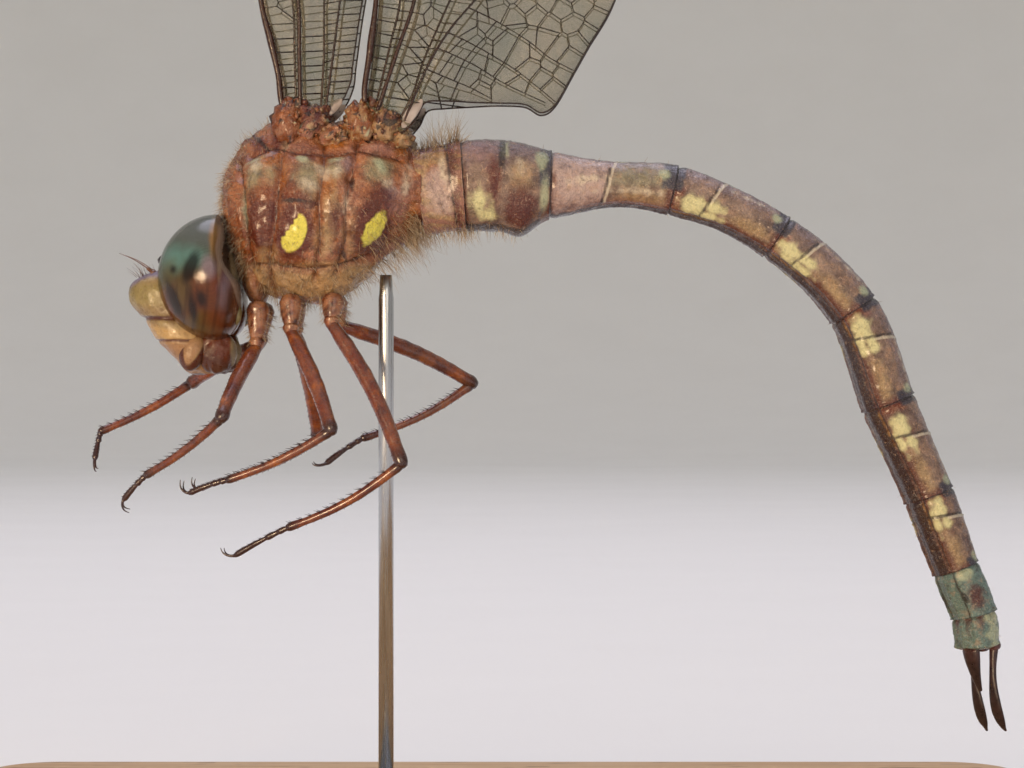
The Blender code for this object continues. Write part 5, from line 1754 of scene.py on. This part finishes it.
def chitin_material(colours):
    """Chitin, the hard skin of an insect: glossy where it is bare, with marks that lie in it
    and have ragged edges, mottled all over and set with fine grains that glint. Some marks
    are painted light: pale highlights, a mauve sheen on the abdomen's back and a highlight
    along each cross ridge."""
    material, tree = new_material(
        "chitin", Roughness=0.3, IOR=1.46, Coat_Weight=0.3, Coat_Roughness=0.16
    )
    broad, middle = object_noise(tree, 1.3, 4.0), object_noise(tree, 0.55, 4.0, 0.6)
    fine, edge = object_noise(tree, 0.2, 3.0, 0.7), object_noise(tree, 0.5, 3.0, 0.65)
    tail = attribute(tree, "tail")
    body = mixed(tree, spread(tree, broad, 0.38, 0.62), colours.thorax, colours.thorax_light)
    rear = mixed(tree, spread(tree, broad, 0.36, 0.66), colours.abdomen, colours.abdomen_light)
    base = layered(
        tree, mixed(tree, spread(tree, tail, -0.2, 0.2), body, rear), edge,
        ("flesh", colours.flesh, 0.35, 0.45, 0.75), ("tan", colours.tan, 0.3, 0.5, 0.7),
        ("verdigris", colours.verdigris, 0.3, 0.3, 0.85),
        ("sage", colours.sage, 0.4, 0.5, 0.75), ("amber", colours.amber, 0.2, 0.3, 0.85),
        # bloom: mauve on the thorax, and a painted sheen on the abdomen's back.
        ("rust", colours.rust, 0.2, 0.3, 0.75), ("bloom", "#85767f", 0.3, 0.5, 0.6),
        ("gold", "#b3882e", 0.1, 0.12, 0.75), ("blush", "#b39c96", 0.3, 0.45, 0.85),
        # silver: painted highlights.
        ("silver", "#cbbda6", 0.2, 0.3, 0.7),
    )
    base = veiled(tree, base, (middle, 0.52, 0.72, 0.55, "#35190f"),
                  (middle, 0.46, 0.30, 0.42, "#a98263"))
    base = layered(
        tree, base, edge, ("maroon", colours.maroon, 0.25, 0.35, 0.85),
        ("slate", colours.slate, 0.1, 0.1, 0.85), ("pale", colours.pale, 0.13, 0.12, 0.75),
        # ridge: a pale line, partly a painted highlight.
        ("ridge", "#c3b8a4", 0.03, 0.01, 0.8), ("blotch", "#cbc795", 0.2, 0.2, 0.92),
        ("spot", colours.spot, 0.06, 0.06, 0.95), ("dark", colours.dark, 0.05, 0.05, 0.8),
    )
    base = veiled(tree, base, (fine, 0.50, 0.75, 0.5, "#2a150f"),
                  (fine, 0.42, 0.28, 0.26, "#dab99c"))
    grains = node(tree, "ShaderNodeMath", {0: middle, 1: fine}, operation="ADD").outputs[0]
    return wired(material, base, spread(tree, fine, 0.35, 0.65, 0.12, 0.42), grains, 0.12, 0.9)


def face_material(colours):
    """Chitin of the face, smoother and half matt, whose plates differ in colour."""
    material, tree = new_material("face chitin", Roughness=0.36, IOR=1.5)
    fine, edge = object_noise(tree, 0.25, 3.0, 0.65), object_noise(tree, 0.6, 2.0)
    base = layered(
        tree, mixed(tree, spread(tree, edge, 0.35, 0.65), colours.face, "#7a6340"), edge,
        ("olive", "#7f7742", 0.3, 0.2, 0.5), ("violet", "#5d5680", 0.22, 0.10, 0.75),
        ("cream", colours.cream, 0.2, 0.15, 0.85), ("blush", "#8f6a4c", 0.25, 0.2, 0.8),
        ("brown", "#401708", 0.12, 0.1, 0.95), ("warm", "#6a2e12", 0.2, 0.2, 0.5),
        ("darkred", "#43120b", 0.06, 0.03, 0.92), ("dark", "#15100f", 0.08, 0.06, 0.95),
        ("rim", "#8f8060", 0.07, 0.05, 0.9),
    )
    base = veiled(tree, base, (fine, 0.5, 0.75, 0.45, "#5b3b22"))
    return wired(material, base, spread(tree, fine, 0.35, 0.65, 0.22, 0.5), fine, 0.05, 0.6)


def eye_material(colours, sizes):
    """Compound eye: a clear, very smooth cornea over pigment, with facets in a honeycomb that
    is drawn coarser than in life so that it shows. Some of its patches are painted
    reflections."""
    material, tree = new_material(
        "compound eye cornea", Roughness=0.11, IOR=1.36, Coat_Weight=0.08, Coat_Roughness=0.04
    )
    edge = object_noise(tree, 0.9, 2.0)
    where = node(tree, "ShaderNodeTexCoord").outputs["Object"]
    facets = node(
        tree, "ShaderNodeTexVoronoi",
        {"Vector": where, "Scale": 1 / (sizes.facet * MM), "Randomness": 0.25},
        feature="F1",
    ).outputs["Distance"]
    base = layered(
        tree, "#3f4a3c", edge, ("brown", colours.eye_low, 0.6, 0.2, 0.95),
        ("crown", colours.eye_top, 0.7, 0.3, 0.9), ("teal", colours.eye_front, 0.5, 0.2, 0.85),
        ("olive", "#544a28", 0.35, 0.15, 0.7), ("red", "#6a3018", 0.35, 0.2, 0.6),
        # lilac: a painted reflection.
        ("lilac", "#81727c", 0.25, 0.1, 0.8), ("streak", "#22130d", 0.3, 0.05, 0.45),
        ("amber", "#8a6533", 0.16, 0.1, 0.85), ("sand", "#b09c80", 0.07, 0.03, 0.8),
        # dark: includes a painted dark reflection below the highlight.
        ("dark", "#100c0b", 0.16, 0.08, 0.85), ("rim", "#a39180", 0.05, 0.02, 0.7),
    )
    base = veiled(tree, base, (facets, 0.25, 0.6, 0.25, colours.dark))
    return wired(material, base, None, spread(tree, facets, 0.0, 0.6, 1.0, 0.0), 0.012, 0.25)


def leg_material(colours):
    """Polished chitin of the legs: reddish brown, tan and grained at the hips, nearly black
    at the joints and feet."""
    material, tree = new_material(
        "leg chitin", Roughness=0.3, IOR=1.5, Coat_Weight=0.35, Coat_Roughness=0.12
    )
    patches = object_noise(tree, 0.9, 4.0, 0.6)
    broad, fine = object_noise(tree, 1.1, 3.0), object_noise(tree, 0.18, 3.0, 0.7)
    base = mixed(tree, spread(tree, broad, 0.38, 0.62), colours.leg, "#7d4c38")
    base = layered(tree, base, broad, ("warm", "#7d3b16", 0.3, 0.25, 0.75))
    base = veiled(tree, base, (patches, 0.50, 0.64, 0.7, "#3a1f26"),
                  (patches, 0.44, 0.32, 0.6, "#a5602c"))
    base = layered(tree, base, broad, ("dusty", "#9a6d50", 0.35, 0.6, 0.8),
                   ("dark", colours.leg_dark, 0.16, 0.12, 0.92))
    base = veiled(tree, base, (fine, 0.50, 0.70, 0.6, "#2b120c"))
    return wired(material, base, spread(tree, fine, 0.35, 0.65, 0.16, 0.38), fine, 0.03, 0.6)


def clasper_material(colours):
    """Dark, waxy chitin of the tail's claspers."""
    material, tree = new_material("clasper chitin", Roughness=0.32, IOR=1.5)
    fine = object_noise(tree, 0.3, 3.0)
    base = mixed(tree, spread(tree, fine, 0.35, 0.7), "#2b1517", "#5a3430")
    base = layered(tree, base, fine, ("tip", colours.dark, 0.5, 0.3, 0.8))
    return wired(material, base, spread(tree, fine, 0.35, 0.65, 0.26, 0.42), fine, 0.02, 0.5)


def vein_material(colours):
    """Chitin of the wing veins: reddish brown in front, nearly black behind."""
    material, tree = new_material("vein chitin", Roughness=0.32, IOR=1.5)
    broad, fine = object_noise(tree, 1.5, 2.0), object_noise(tree, 0.12, 2.0)
    base = mixed(tree, spread(tree, broad, 0.3, 0.7), colours.vein, "#2c1a12")
    base = layered(tree, base, broad, ("red", colours.vein_red, 0.2, 0.1, 0.9))
    base = veiled(tree, base, (fine, 0.5, 0.7, 0.6, "#120a08"))
    return wired(material, base, spread(tree, fine, 0.35, 0.65, 0.14, 0.36), fine, 0.03, 0.7)


def membrane_material(colours):
    """Wing membrane: a clear smoky film, glossy and very finely crumpled."""
    material, tree = new_material("wing membrane", Roughness=0.14, IOR=1.6, Alpha=0.27)
    broad, fine = object_noise(tree, 2.5, 2.0), object_noise(tree, 0.35, 3.0)
    base = mixed(tree, spread(tree, broad, 0.3, 0.7), colours.membrane, "#7d755c")
    return wired(material, base, None, fine, 0.16, 1.0)


def plain_material(name, first, second, size_mm, rough, depth_mm=0.02):
    """A finish of two colours in soft patches, with a roughness that varies a little."""
    material, tree = new_material(name, IOR=1.5)
    noise = object_noise(tree, size_mm, 3.0)
    return wired(material, mixed(tree, spread(tree, noise, 0.35, 0.65), first, second),
                 spread(tree, noise, 0.3, 0.7, rough * 0.8, rough * 1.25), noise, depth_mm, 0.4)


def hair_material(colours):
    """Bristle: clear golden horn, paler on some hairs than on others."""
    material, tree = new_material("golden bristle", Roughness=0.4, IOR=1.54)
    return wired(material, mixed(tree, attribute(tree, "tone"), colours.hair, "#8a6a48"))


def beech_material(colours):
    """Oiled beech: even pale wood with fine straight grain and short dark flecks."""
    material, tree = new_material("oiled beech", Roughness=0.42, IOR=1.46)
    grain = object_noise(tree, 0.5, 4.0, 0.6, (0.05, 1.0, 1.0))
    broad = object_noise(tree, 6.0, 3.0, 0.5, (0.12, 1.0, 1.0))
    flecks = object_noise(tree, 0.45, 1.0, 0.5, (0.22, 1.0, 1.0))
    base = mixed(tree, spread(tree, broad, 0.3, 0.7), colours.beech, "#b88f63")
    base = veiled(tree, base, (grain, 0.45, 0.7, 0.5, "#a47b50"),
                  (flecks, 0.64, 0.7, 0.6, "#7d5735"))
    return wired(material, base, spread(tree, grain, 0.3, 0.7, 0.36, 0.5), grain, 0.05, 0.4)


def steel_material():
    """Brushed stainless steel."""
    material, tree = new_material("brushed steel", Metallic=1.0, Roughness=0.28)
    lines = object_noise(tree, 0.12, 2.0, 0.5, (1.0, 1.0, 0.04))
    base = mixed(tree, lines, "#a9abad", "#c9cacb")
    return wired(material, base, spread(tree, lines, 0.3, 0.7, 0.2, 0.36))


# --- Stand, floor, light and camera ------------------------------------------------------------


def turned(profile, x, columns=64, **values):
    """A turned piece: each row of the profile is a ring's height and radius."""
    turn = turns(columns)
    rings = [
        together(x + radius * np.cos(turn), radius * np.sin(turn), height)
        for height, radius in profile
    ]
    return lofted(np.array(rings), **values)


def slab_shape(low, high, corner, edge):
    """A board with rounded corners and eased edges: the outline of a rectangle rounded at its
    corners, drawn in and raised along a quarter circle at the bottom and at the top."""
    turn = turns(160)
    half_x, half_y = (high[0] - low[0]) / 2, (high[1] - low[1]) / 2
    quarter = np.linspace(0, math.pi / 2, 6)
    steps = [(edge * (1 - math.sin(a)), low[2] + edge * (1 - math.cos(a))) for a in quarter]
    steps += [(edge * (1 - math.cos(a)), high[2] - edge * (1 - math.sin(a)))
              for a in quarter]
    rings = []
    for inset, height in [(corner, low[2]), *steps, (corner, high[2])]:
        radius = max(corner - inset, 0.02)
        x = (half_x - corner) * np.sign(np.cos(turn)) + radius * np.cos(turn)
        y = (half_y - corner) * np.sign(np.sin(turn)) + radius * np.sin(turn)
        rings.append(together(x, y, height))
    return lofted(np.array(rings))


def stage_bowl(name, material, radius, bend, top):
    """A seamless studio floor: flat, then turning up through a quarter circle into a wall that
    stands all round. Its sizes are in metres."""
    angle = np.linspace(0, math.pi / 2, 16)
    reach = np.concatenate([np.linspace(0.001, radius, 8), radius + bend * np.sin(angle),
                            [radius + bend]])
    rise = np.concatenate([np.zeros(8), bend * (1 - np.cos(angle)), [top]])
    sides = 96
    turn = turns(sides)
    vertices = together(reach[:, None] * np.cos(turn), reach[:, None] * np.sin(turn),
                        rise[:, None]).reshape(-1, 3)
    quads = np.roll(grid_quads(len(reach), sides)[:, ::-1], 1, axis=1)
    middle = len(vertices)
    vertices = np.concatenate([vertices, [[0.0, 0.0, 0.0]]])
    fan = [(middle, i, (i + 1) % sides) for i in range(sides)]
    mesh = bpy.data.meshes.new(name)
    mesh.from_pydata(vertices.tolist(), [], quads.tolist() + fan)
    mesh.shade_smooth()
    mesh.materials.append(material)
    obj = bpy.data.objects.new(name, mesh)
    bpy.context.scene.collection.objects.link(obj)


# Name, place, aim and width in metres, watts and tint of each soft light.
LIGHTS = (
    ("key", (-0.19, -0.37, 0.03), (-0.0165, 0.0, 0.031), 0.11, 1.5, "#ffdcb0"),
    ("top", (-0.02, 0.16, 0.60), (0.0, 0.0, 0.03), 0.50, 2.0, "#eeeaff"),
    ("front", (0.18, -0.55, 0.22), (0.0, 0.0, 0.03), 0.35, 0.5, "#fff4e4"),
)
AIR_TINT, AIR_STRENGTH = "#e9edf2", 0.6  # the light that comes from all round
CAMERA_PLACE = (PLAN_CENTRE[0] * MM, -140 * MM, PLAN_CENTRE[1] * MM)
SENSOR_WIDTH = 36.0
LENS = 93.5
NEAREST_SEEN = 0.01


def soft_light(name, where, towards, width, power, tint):
    """A round soft light, turned towards a place."""
    data = bpy.data.lights.new(name, "AREA")
    data.shape = "DISK"
    data.size = width
    data.energy = power
    data.color = linear(tint)
    obj = bpy.data.objects.new(name, data)
    obj.location = where
    direction = Vector(towards) - Vector(where)
    obj.rotation_euler = direction.to_track_quat("-Z", "Y").to_euler()
    bpy.context.scene.collection.objects.link(obj)


# --- Operators ---------------------------------------------------------------------------------


class BuildOperator:
    """What all build steps share: they can be undone, and work in any context."""

    bl_options = {"REGISTER", "UNDO"}

    def settings(self, context):
        """The sizes and colours kept on the scene."""
        return context.scene.darner_sizes, context.scene.darner_colours


TRUNK_NODES = ("mesothorax", "metathorax", "prothorax",
               *(f"abdomen_{number}" for number in range(1, 11)))


class DARNER_OT_trunk(BuildOperator, bpy.types.Operator):
    """Thorax and abdomen as one skin, with the coat of hairs"""

    bl_idname = "darner.trunk"
    bl_label = "Thorax and abdomen"

    def execute(self, context):
        sizes, colours = self.settings(context)
        thorax, thorax_grid, thorax_normals = thorax_shape(sizes)
        abdomen, tail_grid, tail_normals, girth = abdomen_shape(sizes)
        skin = joined(thorax, neck_shape(), wing_root_shapes(), abdomen)
        model_object("skin_trunk", skin, chitin_material(colours), TRUNK_NODES)
        chances = [thorax_coat(thorax_grid, thorax_normals), tail_coat(tail_grid, girth)]
        hips = [hip_surface(name) for name in LEGS]
        chances += [(np.full(rings.shape[:2], 0.9), np.full(rings.shape[:2], 0.4))
                    for rings, _ in hips]
        hairs, places = hair_shape(
            [(thorax_grid, thorax_normals), (tail_grid, tail_normals), *hips], chances,
            sizes.hair_count, sizes.hair_length, sizes.hair_radius, seed=91,
        )
        model_object("hairs", hairs, hair_material(colours), (), places)
        return {"FINISHED"}


class DARNER_OT_head(BuildOperator, bpy.types.Operator):
    """Face, jaws, back of the head, tubercle and feelers"""

    bl_idname = "darner.head"
    bl_label = "Head"

    def execute(self, context):
        _, colours = self.settings(context)
        skin = joined(face_shape(), jaw_shapes(), occiput_shape())
        model_object(
            "skin_head", skin, face_material(colours),
            ("head", "frons", "clypeus", "labrum", "mandible_left", "mandible_right", "labium"),
        )
        polished = plain_material("polished dark chitin", "#1c1420", "#33222c", size_mm=0.4,
                                  rough=0.18)
        model_object("tubercle", vertex_shapes(), polished, ("vertex",))
        model_object("feelers", antenna_shapes(), leg_material(colours),
                     ("antenna_left", "antenna_right"))
        return {"FINISHED"}


class DARNER_OT_eyes(BuildOperator, bpy.types.Operator):
    """Both compound eyes"""

    bl_idname = "darner.eyes"
    bl_label = "Eyes"

    def execute(self, context):
        sizes, colours = self.settings(context)
        material = eye_material(colours, sizes)
        for name, side in SIDES.items():
            model_object(f"compound_eye_{name}", eye_shape(side), material,
                         (f"eye_{name}",))
        return {"FINISHED"}


class DARNER_OT_legs(BuildOperator, bpy.types.Operator):
    """Six legs with their spines and claws"""

    bl_idname = "darner.legs"
    bl_label = "Legs"

    def execute(self, context):
        sizes, colours = self.settings(context)
        replaced = [f"{name}_{part}" for name in LEGS for part in ("femur", "tibia", "tarsus")]
        skin = joined(*(leg_shape(name, sizes) for name in LEGS))
        material = bpy.data.materials.get("leg chitin") or leg_material(colours)
        model_object("skin_legs", skin, material, replaced)
        return {"FINISHED"}


class DARNER_OT_claspers(BuildOperator, bpy.types.Operator):
    """The claspers at the tail's end"""

    bl_idname = "darner.claspers"
    bl_label = "Claspers"

    def execute(self, context):
        _, colours = self.settings(context)
        shape = joined(
            appendage_shape(CERCUS, 1, CERCUS_SECTION),
            appendage_shape(CERCUS, -1, CERCUS_SECTION),
            appendage_shape(EPIPROCT, 1, EPIPROCT_SECTION), tail_plates(),
        )
        model_object("claspers", shape, clasper_material(colours),
                     ("cercus_left", "cercus_right", "epiproct"))
        return {"FINISHED"}


class DARNER_OT_wings(BuildOperator, bpy.types.Operator):
    """Four wings: veins, membrane, the coloured cell near each tip and the white root flap"""

    bl_idname = "darner.wings"
    bl_label = "Wings"

    def execute(self, context):
        sizes, colours = self.settings(context)
        vein, membrane = vein_material(colours), membrane_material(colours)
        stigma_finish = plain_material("stigma chitin", "#4a2715", "#6b3d20", size_mm=0.8,
                                       rough=0.35)
        flap_finish = plain_material("white membrane", "#8e827d", "#aea39e", size_mm=0.6,
                                     rough=0.5)
        for pair, plan in (("forewing", FOREWING), ("hindwing", HINDWING)):
            for name, side in SIDES.items():
                wing = Wing(plan, side)
                veins, middles, net = wing_vein_shape(wing, sizes, seed=71)
                skin = wing_membrane_shape(wing, sizes, middles, net)
                model_object(f"{pair}_{name}_membrane", skin, membrane,
                             (f"{pair}_{name}",))
                model_object(f"{pair}_{name}_veins", veins, vein)
                stigma, flap = wing_pads(wing)
                model_object(f"{pair}_{name}_stigma", stigma, stigma_finish)
                model_object(f"{pair}_{name}_flap", flap, flap_finish)
        return {"FINISHED"}


class DARNER_OT_stand(BuildOperator, bpy.types.Operator):
    """Beech base, steel collar and rod"""

    bl_idname = "darner.stand"
    bl_label = "Stand"

    def execute(self, context):
        _, colours = self.settings(context)
        base = slab_shape(*solid_box("stand_base"), corner=4.0, edge=0.5)
        model_object("beech_base", base, beech_material(colours), ("stand_base",))
        steel = steel_material()
        # The collar's shoulder is rounded, and the rod narrows at its top.
        (x, _, _), (wide, _, _) = solid_middle("stand_collar")
        _, (_, _, top) = solid_box("stand_collar")
        profile = ((3.0, wide), (top - 0.55, wide), (top - 0.3, wide - 0.06),
                   (top - 0.12, wide - 0.2), (top - 0.02, wide - 0.42), (top, wide - 0.6),
                   (top, 0.5))
        model_object("steel_collar", turned(profile, x), steel, ("stand_collar",))
        _, (wide, _, _) = solid_middle("stand_rod")
        _, (_, _, top) = solid_box("stand_rod")
        profile = ((3.2, wide), (top - 1.2, wide), (top - 0.9, wide * 0.9), (top, wide * 0.8))
        model_object("steel_rod", turned(profile, x, 40), steel, ("stand_rod",))
        return {"FINISHED"}


class DARNER_OT_stage(BuildOperator, bpy.types.Operator):
    """Studio floor, soft lights and the camera"""

    bl_idname = "darner.stage"
    bl_label = "Stage"

    def execute(self, context):
        _, colours = self.settings(context)
        floor = plain_material("studio paper", colours.floor, "#edebe6", size_mm=40.0,
                               rough=0.8, depth_mm=0.0)
        stage_bowl("studio_floor", floor, radius=0.7, bend=0.5, top=1.5)
        world = bpy.data.worlds.new("studio air")
        world.use_nodes = True
        background = world.node_tree.nodes["Background"]
        background.inputs["Color"].default_value = rgba(AIR_TINT)
        background.inputs["Strength"].default_value = AIR_STRENGTH
        context.scene.world = world
        context.scene.view_settings.view_transform = "Standard"
        for row in LIGHTS:
            soft_light(*row)
        data = bpy.data.cameras.new("camera")
        data.sensor_width = SENSOR_WIDTH
        data.lens = LENS
        data.clip_start = NEAREST_SEEN
        camera = bpy.data.objects.new("camera", data)
        camera.location = CAMERA_PLACE
        camera.rotation_euler = (math.pi / 2, 0.0, 0.0)
        context.scene.collection.objects.link(camera)
        context.scene.camera = camera
        return {"FINISHED"}


OPERATORS = (
    DARNER_OT_stage, DARNER_OT_trunk, DARNER_OT_head, DARNER_OT_eyes, DARNER_OT_legs,
    DARNER_OT_claspers, DARNER_OT_wings, DARNER_OT_stand,
)


class DARNER_PT_panel(bpy.types.Panel):
    """Lists the build steps and the sizes and colours they use"""

    bl_idname = "DARNER_PT_panel"
    bl_label = "Spotted darner model"
    bl_space_type = "VIEW_3D"
    bl_region_type = "UI"
    bl_category = "Darner"

    def draw(self, context):
        for operator in OPERATORS:
            self.layout.operator(operator.bl_idname)
        for group in (context.scene.darner_sizes, context.scene.darner_colours):
            for name in group.bl_rna.properties.keys():
                if name not in {"rna_type", "name"}:
                    self.layout.prop(group, name)


CLASSES = (DarnerSizes, DarnerColours, *OPERATORS, DARNER_PT_panel)


def register():
    """Adds the classes, and the sizes and colours to the scene."""
    for item in CLASSES:
        bpy.utils.register_class(item)
    bpy.types.Scene.darner_sizes = PointerProperty(type=DarnerSizes)
    bpy.types.Scene.darner_colours = PointerProperty(type=DarnerColours)


def unregister():
    """Takes everything that register added away again."""
    del bpy.types.Scene.darner_colours
    del bpy.types.Scene.darner_sizes
    for item in reversed(CLASSES):
        bpy.utils.unregister_class(item)


def main():
    register()
    for operator in OPERATORS:
        group, name = operator.bl_idname.split(".")
        getattr(getattr(bpy.ops, group), name)()


if __name__ == "__main__":
    main()
